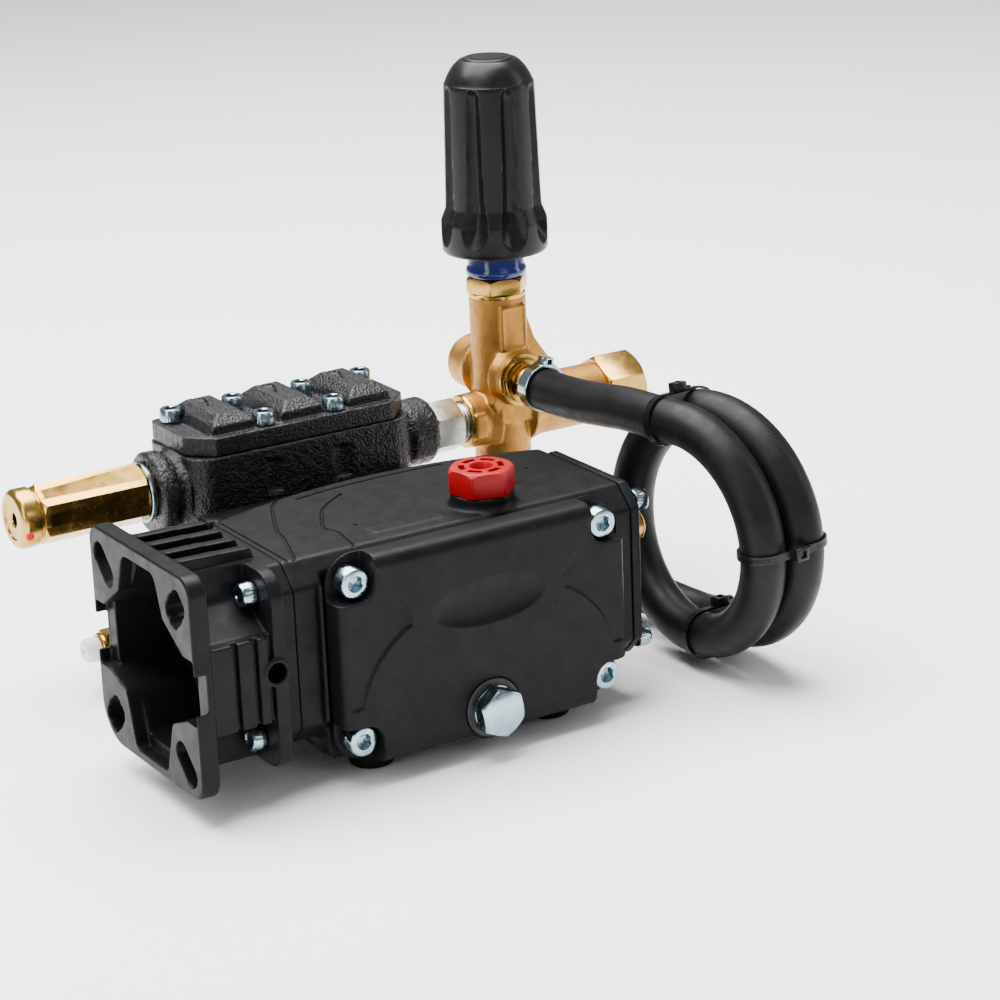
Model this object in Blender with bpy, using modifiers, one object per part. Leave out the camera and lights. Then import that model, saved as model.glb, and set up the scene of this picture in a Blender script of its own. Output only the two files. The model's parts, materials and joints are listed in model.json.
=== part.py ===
"""Triplex plunger pump of a pressure washer, with its unloader valve and bypass hose.

Sizes below are millimetres in the shaft frame: X runs along the crankshaft from the face that
bolts to the engine, Z is up, and Y and Z start on the shaft's axis. Every helper turns them into
metres in the part's own frame, whose origin lies under the middle of the pump, on the floor.
"""

import math

import bmesh
import bpy
from mathutils import Matrix, Vector

MM = 0.001
GAP = 0.3

# Part origin in the shaft frame: middle of the length, middle of the depth, floor.
FLOOR_Z = -57.5
ORIGIN = Vector((158.0, 46.0, FLOOR_Z))

# Engine flange
FLANGE_HOLE_PITCH = 65.1
FLANGE_BACK = 8.0
RECESS_DEPTH = 5.3
PAD_FRONT, PAD_BACK = 35.3, 49.7
SIDE_HOLE = (38.5, -2.0)
HOUSING_SCREW_PITCH = (59.0, 61.0)

# Crankcase
CASE_LEFT, CASE_RIGHT = 50.0, 210.4
CASE_TOP, CASE_END_BOTTOM = 39.0, -38.5
CASE_FRONT, CASE_BACK = -36.0, 37.0
COVER_JOINT_Y = -32.0
SUMP_BOTTOM = -47.5
END_COVER = (210.7, 215.0)

# Crank train: three cylinders across the shaft, plungers running along +Y
CYLINDER_MIDDLE, CYLINDER_PITCH = 131.0, 34.0
CYLINDERS = [CYLINDER_MIDDLE + step * CYLINDER_PITCH for step in (-1, 0, 1)]
CRANK_THROW = 3.15
CRANK_ANGLES = [0.0, 120.0, 240.0]
SHAFT_BORE_RADIUS = 9.53
ROD_LENGTH = 62.0
GUIDE_RADIUS = 15.0
PLUNGER_RADIUS = 8.0

# Front cover
COVER_X, COVER_Z = (63.3, 199.7), (-48.2, 40.8)
COVER_FRONT_Y = -49.0
COVER_SCREW_MIDDLE = (131.5, -3.7)
COVER_SCREW_PITCH = (117.5, 67.4)
COVER_SEAT_Y = -37.0
DRAIN_PLUG = (131.5, -36.0)
FILLER = (152.0, -13.0)
SIGHT_GLASS = (-25.0, 18.0)

# Manifold head
HEAD_X, HEAD_Y, HEAD_Z = (75.0, 187.0), (99.5, 146.0), (-53.5, 43.0)
VALVE_AXIS_Y = 122.0
GALLERY_Z, INLET_Z, INLET_Y = 27.5, -38.0, 118.0
VALVE_COVER_TOP = 51.7
VALVE_SCREWS = [(-48.0, 15.0), (-17.5, 15.0), (17.5, 15.0), (48.0, 15.0), (-17.5, -15.0), (17.5, -15.0)]

# Unloader valve
UNLOADER = (245.5, 122.0)
BYPASS_Z = 48.3
UNLOADER_BOTTOM, UNLOADER_TOP = -10.0, 87.0
KNOB_BOTTOM, KNOB_TOP = 106.6, 195.8
INJECTOR_RADIUS = 1.6

# Bypass hose
HOSE_RADIUS = 9.75
COIL_CENTRE = (-14.5, 6.0)
COIL_RADIUS = 49.0
COIL_START, COIL_END = 84.0, 634.0
HOSE_LEAD_IN = [
    (245.5, 91.6, 48.3),
    (245.7, 76.0, 47.8),
    (246.3, 56.0, 48.8),
    (246.9, 36.0, 51.2),
    (247.3, 17.0, 53.6),
]
HOSE_LEAD_OUT = [
    (277.3, 3.5, -45.7),
    (275.2, 17.0, -45.6),
    (270.0, 36.0, -43.6),
    (261.0, 53.0, -41.0),
    (250.5, 67.0, -39.2),
    (242.4, 78.5, -38.2),
    (240.0, 87.0, -38.0),
    (240.0, 95.6, -38.0),
]
INLET_BARB_X = 240.0


# ---------------------------------------------------------------- frame and helpers

AXIS_TURN = {
    "X": Matrix.Rotation(math.radians(90), 4, "Y"),
    "-X": Matrix.Rotation(math.radians(-90), 4, "Y"),
    "Y": Matrix.Rotation(math.radians(-90), 4, "X"),
    "-Y": Matrix.Rotation(math.radians(90), 4, "X"),
    "Z": Matrix.Identity(4),
    "-Z": Matrix.Rotation(math.radians(180), 4, "X"),
}

# Columns carry an outline's two directions and its thickness direction.
OUTLINE_TURN = {
    "X": Matrix(((0, 0, 1, 0), (1, 0, 0, 0), (0, 1, 0, 0), (0, 0, 0, 1))),
    "Y": Matrix(((1, 0, 0, 0), (0, 0, -1, 0), (0, 1, 0, 0), (0, 0, 0, 1))),
    "Z": Matrix.Identity(4),
}


def place(x, y, z):
    """A point of the shaft frame, in metres in the part's frame."""
    return (Vector((x, y, z)) - ORIGIN) * MM


def clear_scene():
    for obj in list(bpy.data.objects):
        bpy.data.objects.remove(obj, do_unlink=True)


def new_object(name, data):
    obj = bpy.data.objects.new(name, data)
    bpy.context.scene.collection.objects.link(obj)
    return obj


def from_bmesh(name, bm, matrix):
    mesh = bpy.data.meshes.new(name)
    bmesh.ops.transform(bm, matrix=matrix, verts=bm.verts)
    bm.to_mesh(mesh)
    bm.free()
    return new_object(name, mesh)


def bake(obj):
    """Replaces an object's mesh, or a curve, with the shape its modifiers give."""
    graph = bpy.context.evaluated_depsgraph_get()
    mesh = bpy.data.meshes.new_from_object(obj.evaluated_get(graph))
    bm = bmesh.new()
    bm.from_mesh(mesh)
    bmesh.ops.remove_doubles(bm, verts=bm.verts, dist=1e-6)
    bmesh.ops.recalc_face_normals(bm, faces=bm.faces)
    bm.to_mesh(mesh)
    bm.free()
    mesh.transform(obj.matrix_world)
    baked = new_object(obj.name + "_baked", mesh)
    bpy.data.objects.remove(obj, do_unlink=True)
    return baked


def sides_for(radius):
    """Enough sides to keep a circle's chords within about 0.2 mm of it."""
    return max(8, 2 * round(2.2 * math.sqrt(radius)))


def cylinder(start, axis, radius, length, sides=None, turn=0.0):
    """A cylinder from its start along an axis, or a bar whose sides are turned by degrees."""
    bm = bmesh.new()
    bmesh.ops.create_cone(
        bm,
        cap_ends=True,
        segments=sides or sides_for(radius),
        radius1=radius * MM,
        radius2=radius * MM,
        depth=length * MM,
    )
    spin = Matrix.Rotation(math.radians(turn), 4, "Z")
    shift = Matrix.Translation((0, 0, length * MM / 2))
    return from_bmesh("cylinder", bm, Matrix.Translation(place(*start)) @ AXIS_TURN[axis] @ spin @ shift)


def hexagon(start, axis, across_flats, length, turn=0.0):
    """A hexagonal bar; at turn 0 a corner lies on the axis turn's second direction."""
    return cylinder(start, axis, across_flats / math.sqrt(3), length, sides=6, turn=turn)


def block(low, high, rounding=0.0, segments=2):
    """A box between two corners, with rounded edges if asked."""
    low, high = place(*low), place(*high)
    bm = bmesh.new()
    bmesh.ops.create_cube(bm, size=1.0)
    size = Matrix.Diagonal((high - low).to_4d())
    size[3][3] = 1.0
    obj = from_bmesh("block", bm, Matrix.Translation((low + high) / 2) @ size)
    return rounded(obj, rounding, segments) if rounding else obj


def rounded(obj, width, segments=2, angle=50.0):
    bevel = obj.modifiers.new("round", "BEVEL")
    bevel.width = width * MM
    bevel.segments = segments
    bevel.limit_method = "ANGLE"
    bevel.angle_limit = math.radians(angle)
    return bake(obj)


def prism(outline, axis, low, high):
    """A flat outline given thickness along an axis.

    The outline's numbers are (Y, Z) for axis X, (X, Z) for axis Y and (X, Y) for axis Z.
    """
    curve = bpy.data.curves.new("outline", "CURVE")
    curve.dimensions = "2D"
    curve.fill_mode = "BOTH"
    curve.extrude = (high - low) * MM / 2
    spline = curve.splines.new("POLY")
    spline.points.add(len(outline) - 1)
    spline.use_cyclic_u = True
    for corner, (first, second) in zip(spline.points, outline):
        corner.co = (first * MM, second * MM, 0.0, 1.0)
    obj = new_object("outline", curve)
    middle = (low + high) / 2
    start = {"X": (middle, 0, 0), "Y": (0, middle, 0), "Z": (0, 0, middle)}[axis]
    obj.matrix_world = Matrix.Translation(place(*start)) @ OUTLINE_TURN[axis]
    bpy.context.view_layer.update()
    return bake(obj)


def arc(centre, radius, start, end, steps):
    """Points on a circle from one angle to another, in degrees."""
    turn = [math.radians(start + (end - start) * step / steps) for step in range(steps + 1)]
    return [(centre[0] + radius * math.cos(a), centre[1] + radius * math.sin(a)) for a in turn]


def round_corners(corners, radii, steps=3):
    """An outline whose corners are arcs; a radius of 0 keeps the corner sharp."""
    outline = []
    for index, (corner, radius) in enumerate(zip(corners, radii)):
        here = Vector(corner)
        if not radius:
            outline.append(corner)
            continue
        before = (Vector(corners[index - 1]) - here).normalized()
        after = (Vector(corners[(index + 1) % len(corners)]) - here).normalized()
        half = math.acos(max(-1.0, min(1.0, before.dot(after)))) / 2
        centre = here + (before + after).normalized() * radius / math.sin(half)
        first = here + before * radius / math.tan(half)
        last = here + after * radius / math.tan(half)
        for step in range(steps + 1):
            spoke = (first - centre).slerp(last - centre, step / steps)
            outline.append(tuple(centre + spoke.normalized() * radius))
    return outline


def turned(start, axis, profile):
    """A turned shape; the profile's (radius, height) points run down its outer side."""
    steps = sides_for(max(radius for radius, _ in profile))
    bm = bmesh.new()
    points = [bm.verts.new((radius * MM, 0.0, height * MM)) for radius, height in profile]
    for first, second in zip(points, points[1:]):
        bm.edges.new((first, second))
    if profile[0][0] > 0:
        bm.edges.new((points[-1], points[0]))
    obj = from_bmesh("turned", bm, Matrix.Identity(4))
    screw = obj.modifiers.new("turn", "SCREW")
    screw.axis = "Z"
    screw.steps = steps
    screw.render_steps = steps
    screw.use_merge_vertices = True
    screw.merge_threshold = 0.00001
    obj.matrix_world = Matrix.Translation(place(*start)) @ AXIS_TURN[axis]
    bpy.context.view_layer.update()
    return bake(obj)


def combine(operation, obj, others):
    for other in others:
        other.hide_render = True
        other.display_type = "WIRE"
        change = obj.modifiers.new(operation.lower(), "BOOLEAN")
        change.operation = operation
        change.object = other
    result = bake(obj)
    for other in others:
        bpy.data.objects.remove(other, do_unlink=True)
    return result


def unite(obj, *others):
    return combine("UNION", obj, others)


def cut(obj, *others):
    return combine("DIFFERENCE", obj, others)


def common(obj, other):
    return combine("INTERSECT", obj, [other])


def material(name, colour, roughness, metallic):
    found = bpy.data.materials.get(name)
    if found:
        return found
    made = bpy.data.materials.new(name)
    made.use_nodes = True
    shader = made.node_tree.nodes["Principled BSDF"]
    shader.inputs["Base Color"].default_value = (*colour, 1.0)
    shader.inputs["Roughness"].default_value = roughness
    shader.inputs["Metallic"].default_value = metallic
    return made


def black_casting():
    return material("black_casting", (0.018, 0.018, 0.02), 0.5, 0.0)


def cast_iron():
    return material("cast_iron", (0.012, 0.012, 0.013), 0.55, 0.3)


def brass():
    return material("brass", (0.72, 0.48, 0.18), 0.3, 1.0)


def zinc():
    return material("zinc_steel", (0.6, 0.62, 0.64), 0.3, 1.0)


def steel():
    return material("steel", (0.5, 0.5, 0.52), 0.35, 1.0)


def black_plastic():
    return material("black_plastic", (0.015, 0.015, 0.016), 0.4, 0.0)


def rubber():
    return material("rubber", (0.012, 0.012, 0.012), 0.6, 0.0)


def red_plastic():
    return material("red_plastic", (0.75, 0.01, 0.02), 0.35, 0.0)


def blue_paint():
    return material("blue_paint", (0.01, 0.03, 0.25), 0.25, 0.0)


def white_plastic():
    return material("white_plastic", (0.72, 0.7, 0.67), 0.4, 0.0)


def bronze():
    return material("bronze", (0.55, 0.34, 0.14), 0.35, 1.0)


def part(name, obj, finish, pivot=None):
    """Names a finished sub-part, gives it its material and sets its origin on its joint's axis."""
    obj.name = name
    obj.data.name = name
    if pivot is not None:
        home = place(*pivot)
        obj.data.transform(Matrix.Translation(-home))
        obj.location = home
    obj.data.materials.clear()
    obj.data.materials.append(finish)
    obj.data.shade_smooth()
    obj.data.set_sharp_from_angle(angle=math.radians(35))
    bpy.context.scene.collection.objects.unlink(obj)
    bpy.data.collections["pressure_washer_pump"].objects.link(obj)
    return obj


def cap_screw(seat, axis, thread, head_radius, head_height, length, socket):
    """A socket-head cap screw whose head stands on its seat and points along the axis."""
    shank_axis = axis[1:] if axis.startswith("-") else "-" + axis
    direction = AXIS_TURN[axis].to_3x3() @ Vector((0, 0, 1))
    seat = Vector(seat) + direction * GAP
    top = seat + direction * head_height
    head = cylinder(tuple(seat), axis, head_radius, head_height, sides=14)
    shank = cylinder(tuple(seat + direction * 0.5), shank_axis, thread, length, sides=8)
    hollow = hexagon(tuple(top - direction * head_height * 0.55), axis, socket, head_height)
    return cut(unite(head, shank), hollow)


# ---------------------------------------------------------------- crankcase group

def end_outline(inset=0.0):
    """The section that the crankcase ends, the flange's pad and the end cover share."""
    front, back = CASE_FRONT + inset, CASE_BACK - inset
    top, bottom = CASE_TOP - inset, CASE_END_BOTTOM + inset
    chamfer = 9.5
    return [
        (front, bottom + chamfer),
        (front + chamfer, bottom),
        (back - chamfer, bottom),
        (back, bottom + chamfer),
        (back, top - chamfer),
        (back - chamfer, top),
        (front + chamfer, top),
        (front, top - chamfer),
    ]


def cover_screw_places():
    middle_x, middle_z = COVER_SCREW_MIDDLE
    half_x, half_z = COVER_SCREW_PITCH[0] / 2, COVER_SCREW_PITCH[1] / 2
    return [(middle_x + i * half_x, middle_z + k * half_z) for i in (-1, 1) for k in (1, -1)]


def housing_screw_places():
    half_y, half_z = HOUSING_SCREW_PITCH[0] / 2, HOUSING_SCREW_PITCH[1] / 2
    return [(j * half_y, k * half_z) for j in (-1, 1) for k in (1, -1)]


def crankcase():
    back_bulge = arc((131.5, -165.0), 214.5, 112.3, 67.7, 12)
    plan = [(CASE_RIGHT, -60.0), (CASE_LEFT, -60.0), *back_bulge]
    section = [(-36.0, -29.0), (-26.5, -38.5), (60.0, -38.5), (60.0, 39.0), (-26.5, 39.0), (-36.0, 29.5)]
    body = common(
        prism(section, "X", CASE_LEFT, CASE_RIGHT),
        prism(plan, "Z", -60.0, 60.0),
    )
    sump = block((60.0, -40.0, SUMP_BOTTOM), (203.0, 40.0, -20.0), rounding=3.0)
    guides = block((77.0, 30.0, -21.5), (185.0, 93.0, 19.5), rounding=3.0)
    guide_flange = block((73.5, 88.0, -34.0), (188.5, 99.2, 19.8))
    neck = cylinder((*FILLER, 30.0), "Z", 13.6, 14.2)
    feet = [
        cylinder((131.0 + i * 43.0, y, FLOOR_Z), "Z", 9.8, 15.0)
        for i in (-1, 1)
        for y in (-22.3, 26.0)
    ]
    body = unite(body, sump, guides, guide_flange, neck, *feet)

    front_space = block((COVER_X[0] - GAP, -60.0, -60.0), (COVER_X[1] + GAP, COVER_JOINT_Y, 60.0))
    oil_room = block((69.0, -31.0, -43.0), (196.0, 34.0, 33.5))
    mouth = block((84.0, -40.0, -43.0), (179.0, 0.0, 33.5))
    body = cut(body, front_space, oil_room, mouth)

    cutters = [
        cylinder((40.0, 0, 0), "X", 31.3, 26.8),
        cylinder((60.0, 0, 0), "X", 26.0, 20.0),
        cylinder((198.6, 0, 0), "X", 23.8, 20.0),
        cylinder((190.0, 0, 0), "X", 19.0, 20.0),
        cylinder((*FILLER, 25.0), "Z", 10.3, 30.0),
        cylinder((200.0, *SIGHT_GLASS), "X", 5.7, 20.0),
    ]
    for x in CYLINDERS:
        cutters.append(cylinder((x, 25.0, 0), "Y", GUIDE_RADIUS + GAP, 90.0))
    for y, z in housing_screw_places():
        cutters.append(cylinder((45.0, y, z), "X", 3.3, 16.0))
        cutters.append(cylinder((199.0, y, z), "X", 3.3, 16.0))
    for x, z in cover_screw_places():
        cutters.append(cylinder((x, -40.0, z), "Y", 4.3, 24.0))
    part("crankcase", cut(body, *cutters), black_casting())


def crankcase_cover():
    low_x, high_x = COVER_X
    low_z, high_z = COVER_Z
    corners = [(low_x, low_z), (high_x, low_z), (high_x, high_z), (low_x, high_z)]
    outline = round_corners(corners, [13.0] * 4)
    body = prism(outline, "Y", COVER_FRONT_Y, COVER_JOINT_Y - GAP)
    body = rounded(body, 5.0, segments=2, angle=60.0)
    plug_x, plug_z = DRAIN_PLUG
    body = unite(body, cylinder((plug_x, -38.0, plug_z), "-Y", 13.0, 10.0))
    cutters = [
        block((82.0, -44.5, -42.0), (181.0, -20.0, 33.0), rounding=3.0),
        cylinder((plug_x, -30.0, plug_z), "-Y", 8.3, 30.0),
        cylinder((plug_x, -47.8, plug_z), "-Y", 13.4, 10.0),
    ]
    middle_x, middle_z = COVER_SCREW_MIDDLE
    for x, z in cover_screw_places():
        out_x = math.copysign(12.0, x - middle_x)
        out_z = math.copysign(12.0, z - middle_z)
        notch = prism(
            round_corners(
                [(x - out_x * 0.7, z - out_z * 0.7), (x + out_x * 1.6, z - out_z * 0.7),
                 (x + out_x * 1.6, z + out_z * 1.6), (x - out_x * 0.7, z + out_z * 1.6)],
                [8.0, 0.0, 0.0, 0.0],
                steps=4,
            ),
            "Y", -60.0, COVER_SEAT_Y,
        )
        cutters.append(notch)
        cutters.append(cylinder((x, -30.0, z), "-Y", 4.3, 12.0))
    part("crankcase_cover", cut(body, *cutters), black_casting())


def crankcase_screws():
    for index, (x, z) in enumerate(cover_screw_places(), 1):
        screw = cap_screw((x, COVER_SEAT_Y, z), "-Y", 4.0, 6.4, 8.0, 20.0, 6.0)
        part(f"cover_screw_{index}", screw, zinc())
    for index, (y, z) in enumerate(housing_screw_places(), 1):
        screw = cap_screw((END_COVER[1], y, z), "X", 3.0, 5.0, 6.0, 14.0, 5.0)
        part(f"end_cover_screw_{index}", screw, zinc())
        screw = cap_screw((PAD_FRONT, y, z), "-X", 3.0, 5.0, 6.0, 22.0, 5.0)
        part(f"flange_screw_{index}", screw, zinc())


def drain_plug():
    x, z = DRAIN_PLUG
    head = hexagon((x, -49.9, z), "-Y", 19.0, 7.6, turn=8.0)
    plug = unite(head, cylinder((x, -50.5, z), "Y", 7.9, 12.0))
    part("drain_plug", plug, zinc())
    washer = turned((x, -48.1, z), "-Y", [(12.6, 1.4), (12.6, 0.0), (8.3, 0.0), (8.3, 1.4)])
    part("drain_plug_seal", washer, rubber())


def oil_filler_cap():
    x, y = FILLER
    base = CASE_TOP + 5.2 + GAP
    cap = rounded(hexagon((x, y, base), "Z", 25.0, 10.5, turn=12.0), 1.6, segments=2, angle=20.0)
    cap = unite(cap, cylinder((x, y, base + 0.5), "-Z", 9.9, 12.0))
    slots = []
    for step in range(6):
        angle = math.radians(60 * step + 42)
        slot = block((x + 6.3, y - 2.6, base + 7.5), (x + 9.2, y + 2.6, base + 20.0))
        pivot = place(x, y, 0)
        slot.data.transform(Matrix.Translation(-pivot))
        slot.data.transform(Matrix.Translation(pivot) @ Matrix.Rotation(angle, 4, "Z"))
        slots.append(slot)
    cap = cut(cap, cylinder((x, y, base + 5.5), "Z", 5.0, 20.0), *slots)
    part("oil_filler_cap", cap, red_plastic(), pivot=(x, y, base))


def end_cover():
    plate = prism(end_outline(), "X", *END_COVER)
    spigot = cylinder((208.6, 0, 0), "X", 23.4, 4.0)
    holes = [cylinder((200.0, 0, 0), "X", 18.0, 12.5)]
    holes.append(cylinder((200.0, *SIGHT_GLASS), "X", 5.7, 20.0))
    for y, z in housing_screw_places():
        holes.append(cylinder((205.0, y, z), "X", 3.3, 20.0))
    part("end_cover", cut(unite(plate, spigot), *holes), black_casting())


def sight_glass():
    y, z = SIGHT_GLASS
    profile = [(0, 4.0), (4.0, 4.0), (4.4, 6.0), (6.2, 6.0), (7.0, 5.0), (7.0, 0.3), (5.4, 0.3), (5.4, -9.0), (0, -9.0)]
    part("sight_glass", turned((END_COVER[1], y, z), "X", profile), brass())


# ---------------------------------------------------------------- engine flange

def flange_plate():
    corners = [(-46.0, -46.0), (45.5, -46.0), (45.5, 47.5), (-46.0, 47.5)]
    return prism(round_corners(corners, [10.0, 17.0, 8.0, 8.0], steps=3), "X", 0.0, FLANGE_BACK)


def radial_slot(y, z, length, radius, lean=0.0):
    """A mounting slot that points at the shaft, or leans from that line by some degrees."""
    outward = Vector((y, z)).normalized()
    outward = Matrix.Rotation(math.radians(lean), 2) @ outward
    side = Vector((-outward.y, outward.x))
    near = Vector((y, z)) - outward * (length / 2 - radius)
    far = Vector((y, z)) + outward * (length / 2 - radius)
    angle = math.degrees(math.atan2(side.y, side.x))
    outline = arc(near, radius, angle, angle + 180, 8) + arc(far, radius, angle - 180, angle, 8)
    return prism(outline, "X", -5.0, FLANGE_BACK + 20.0)


def bell_outline(reach):
    """The cross-shaped hollow between the four corner bosses, as tall as reach each way."""
    top, bottom = reach, -reach
    return round_corners(
        [(14.0, top), (-14.5, top), (-20.0, 25.0), (-37.0, 14.0), (-37.0, -12.5), (-22.0, -18.5),
         (-14.5, bottom), (14.0, bottom), (20.0, -18.5), (37.0, -12.5), (37.0, 14.0), (20.0, 25.0)],
        [4.0, 4.0, 5.0, 3.0, 3.0, 5.0, 3.0, 3.0, 5.0, 3.0, 3.0, 5.0])


def screw_pocket(y, z):
    """The open corner behind the plate, where one flange screw sits."""
    inner, outer = (28.4, 17.2) if z > 0 else (27.0, 19.5)
    corners = [(22.5, 60.0), (22.5, inner), (39.0, outer), (60.0, outer - 1.0), (60.0, 60.0)]
    outline = round_corners(corners, [0.5, 6.0, 3.0, 0.5, 0.5])
    outline = [(math.copysign(across, y), math.copysign(up, z)) for across, up in outline]
    return prism(outline, "X", FLANGE_BACK, PAD_FRONT)


def engine_flange():
    plate = flange_plate()
    neck = block((FLANGE_BACK - 2.0, -44.5, -42.4), (PAD_FRONT + 6.0, 44.0, 41.0))
    grooves = [block((x, -60.0, -60.0), (x + 2.4, -41.7, 60.0)) for x in (17.6, 26.2, 32.8)]
    pad = prism(end_outline(), "X", PAD_FRONT, PAD_BACK)
    boss = cylinder((SIDE_HOLE[0], -46.5, SIDE_HOLE[1]), "Y", 6.6, 12.0)
    fins = []
    for step in range(4):
        y = -20.0 + step * 12.5
        outline = [(6.0, 36.0), (41.5, 36.0), (41.5, 41.6), (40.0, 45.6), (6.0, 46.6)]
        fins.append(prism(outline, "Y", y, y + 5.0))
    body = unite(cut(neck, *grooves), plate, pad, boss, *fins)

    half = FLANGE_HOLE_PITCH / 2
    cutters = [
        prism(bell_outline(41.6), "X", -5.0, FLANGE_BACK - 2.0),
        prism(bell_outline(37.0), "X", 0.0, 31.0),
        cylinder((20.0, 0, 0), "X", 17.5, 40.0),
        cylinder((37.5, 0, 0), "X", 26.0, 20.0),
        block((-5.0, -44.6, -13.0), (RECESS_DEPTH, -30.0, 14.5)),
        block((-5.0, 30.0, -13.2), (RECESS_DEPTH, 43.8, 14.2)),
        block((-5.0, -60.0, -8.0), (RECESS_DEPTH - 0.2, 60.0, 8.2)),
        cylinder((SIDE_HOLE[0], -50.0, SIDE_HOLE[1]), "Y", 4.2, 16.0),
        radial_slot(half, half, 20.0, 5.2),
        radial_slot(-half, -half, 20.0, 5.2),
    ]
    for y, z in ((-half, half), (half, -half)):
        cutters.append(cylinder((-5.0, y, z), "X", 6.6, 33.0))
        for lean in (-24.0, 24.0):
            cutters.append(radial_slot(y, z, 17.6, 4.2, lean))
    for y, z in housing_screw_places():
        cutters.append(screw_pocket(y, z))
        cutters.append(cylinder((30.0, y, z), "X", 3.3, 30.0))
    part("engine_flange", cut(body, *cutters), black_casting())

    seal = turned((38.0, 0, 0), "X", [(25.7, 8.0), (25.7, 0.0), (15.5, 0.0), (15.5, 3.0), (22.0, 3.0), (22.0, 8.0)])
    part("shaft_oil_seal", seal, rubber())


# ---------------------------------------------------------------- crank train

def crank_pin(index):
    angle = math.radians(CRANK_ANGLES[index])
    return (CYLINDERS[index], CRANK_THROW * math.cos(angle), CRANK_THROW * math.sin(angle))


def crankshaft():
    shaft = cylinder((28.0, 0, 0), "X", 15.0, 148.0)
    journal = cylinder((170.0, 0, 0), "X", 10.0, 39.0)
    shoulder = cylinder((170.0, 0, 0), "X", 14.0, 26.0)
    throws = []
    for index in range(3):
        x, y, z = crank_pin(index)
        throws.append(cylinder((x - 8.0, y, z), "X", 19.0, 16.0))
    shaft = unite(shaft, journal, shoulder, *throws)
    keyway = block((20.0, -2.4, 0.0), (85.0, 2.4, SHAFT_BORE_RADIUS + 2.3))
    bore = cylinder((20.0, 0, 0), "X", SHAFT_BORE_RADIUS, 70.0)
    part("crankshaft", cut(shaft, bore, keyway), steel(), pivot=(CYLINDER_MIDDLE, 0, 0))


def bearing(name, start, bore_radius, outer_radius, width):
    """A sealed ball bearing, as one ring with its shields slightly sunk."""
    race = (outer_radius - bore_radius) * 0.3
    profile = [
        (outer_radius, width), (outer_radius, 0), (bore_radius, 0), (bore_radius, width),
        (bore_radius + race, width), (bore_radius + race, width - 0.8),
        (outer_radius - race, width - 0.8), (outer_radius - race, width),
    ]
    part(name, turned((start, 0, 0), "X", profile), steel())


def connecting_rod(index):
    x, y, z = crank_pin(index)
    ring = turned((x - 7.0, y, z), "X", [(25.0, 14.0), (25.0, 0), (19.4, 0), (19.4, 14.0)])
    shank = block((x - 3.9, y + 22.0, z - 6.0), (x + 3.9, y + 54.0, z + 6.0))
    eye = prism(
        arc((y + ROD_LENGTH + 3.2, z), 10.0, -90, 90, 6) + arc((y + ROD_LENGTH - 3.2, z), 10.0, 90, 270, 6),
        "X", x - 3.9, x + 3.9,
    )
    slot = prism(
        arc((y + ROD_LENGTH + 3.2, z), 7.3, -90, 90, 6) + arc((y + ROD_LENGTH - 3.2, z), 7.3, 90, 270, 6),
        "X", x - 10.0, x + 10.0,
    )
    rod = cut(unite(ring, shank, eye), slot)
    part(f"connecting_rod_{index + 1}", rod, bronze(), pivot=(x, y, z))


def plunger(index):
    x = CYLINDERS[index]
    guide = cylinder((x, 50.0, 0), "Y", GUIDE_RADIUS - 0.1, 36.0)
    rod = cylinder((x, 85.0, 0), "Y", PLUNGER_RADIUS, 33.0)
    slot = block((x - 4.4, 45.0, -20.0), (x + 4.4, 82.0, 20.0))
    pin = cylinder((x - 8.0, ROD_LENGTH, 0), "X", 3.5, 16.0)
    body = unite(cut(unite(guide, rod), slot), pin)
    part(f"plunger_{index + 1}", body, steel(), pivot=(x, ROD_LENGTH, 0))


# ---------------------------------------------------------------- manifold head

def manifold_head():
    low_x, high_x = HEAD_X
    low_y, high_y = HEAD_Y
    corners = [(low_x, low_y), (high_x, low_y), (high_x, high_y), (low_x, high_y)]
    plan = round_corners(corners, [11.0, 11.0, 5.0, 5.0])
    body = prism(plan, "Z", *HEAD_Z)
    pads = [
        block((x - 16.0, 124.0, FLOOR_Z), (x + 16.0, 144.0, HEAD_Z[0] + 5.0))
        for x in (CYLINDERS[0], CYLINDERS[2])
    ]
    axis_yz = (VALVE_AXIS_Y, GALLERY_Z - 1.5)
    left = turned((61.5, *axis_yz), "X", [(0, 14.0), (18.5, 14.0), (18.5, 1.5), (17.0, 0), (0, 0)])
    axis_yz = (VALVE_AXIS_Y, GALLERY_Z + 0.5)
    right = turned((180.0, *axis_yz), "X", [(0, 24.0), (13.5, 24.0), (15.6, 21.5), (15.6, 11.0), (13.5, 8.0), (13.5, 0), (0, 0)])
    lower_left = cylinder((64.0, INLET_Y, INLET_Z), "X", 14.5, 20.0)
    lower_right = cylinder((180.0, INLET_Y, INLET_Z), "X", 15.0, 17.0)
    body = unite(body, *pads, left, right, lower_left, lower_right)

    cutters = [
        cylinder((55.0, VALVE_AXIS_Y, GALLERY_Z), "X", 6.5, 160.0),
        cylinder((55.0, VALVE_AXIS_Y, GALLERY_Z), "X", 9.8, 18.0),
        cylinder((190.0, VALVE_AXIS_Y, GALLERY_Z), "X", 9.8, 20.0),
        cylinder((55.0, INLET_Y, INLET_Z), "X", 8.0, 160.0),
    ]
    for x in CYLINDERS:
        cutters.append(cylinder((x, VALVE_AXIS_Y, 10.0), "Z", 12.0, 40.0))
        cutters.append(cylinder((x, VALVE_AXIS_Y, INLET_Z), "Z", 6.0, 60.0))
        cutters.append(cylinder((x, 90.0, 0), "Y", PLUNGER_RADIUS + GAP, 34.0))
        cutters.append(cylinder((x, 90.0, 0), "Y", 13.0, 18.0))
    part("manifold_head", cut(body, *cutters, *screw_columns(3.3)), cast_iron())


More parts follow.
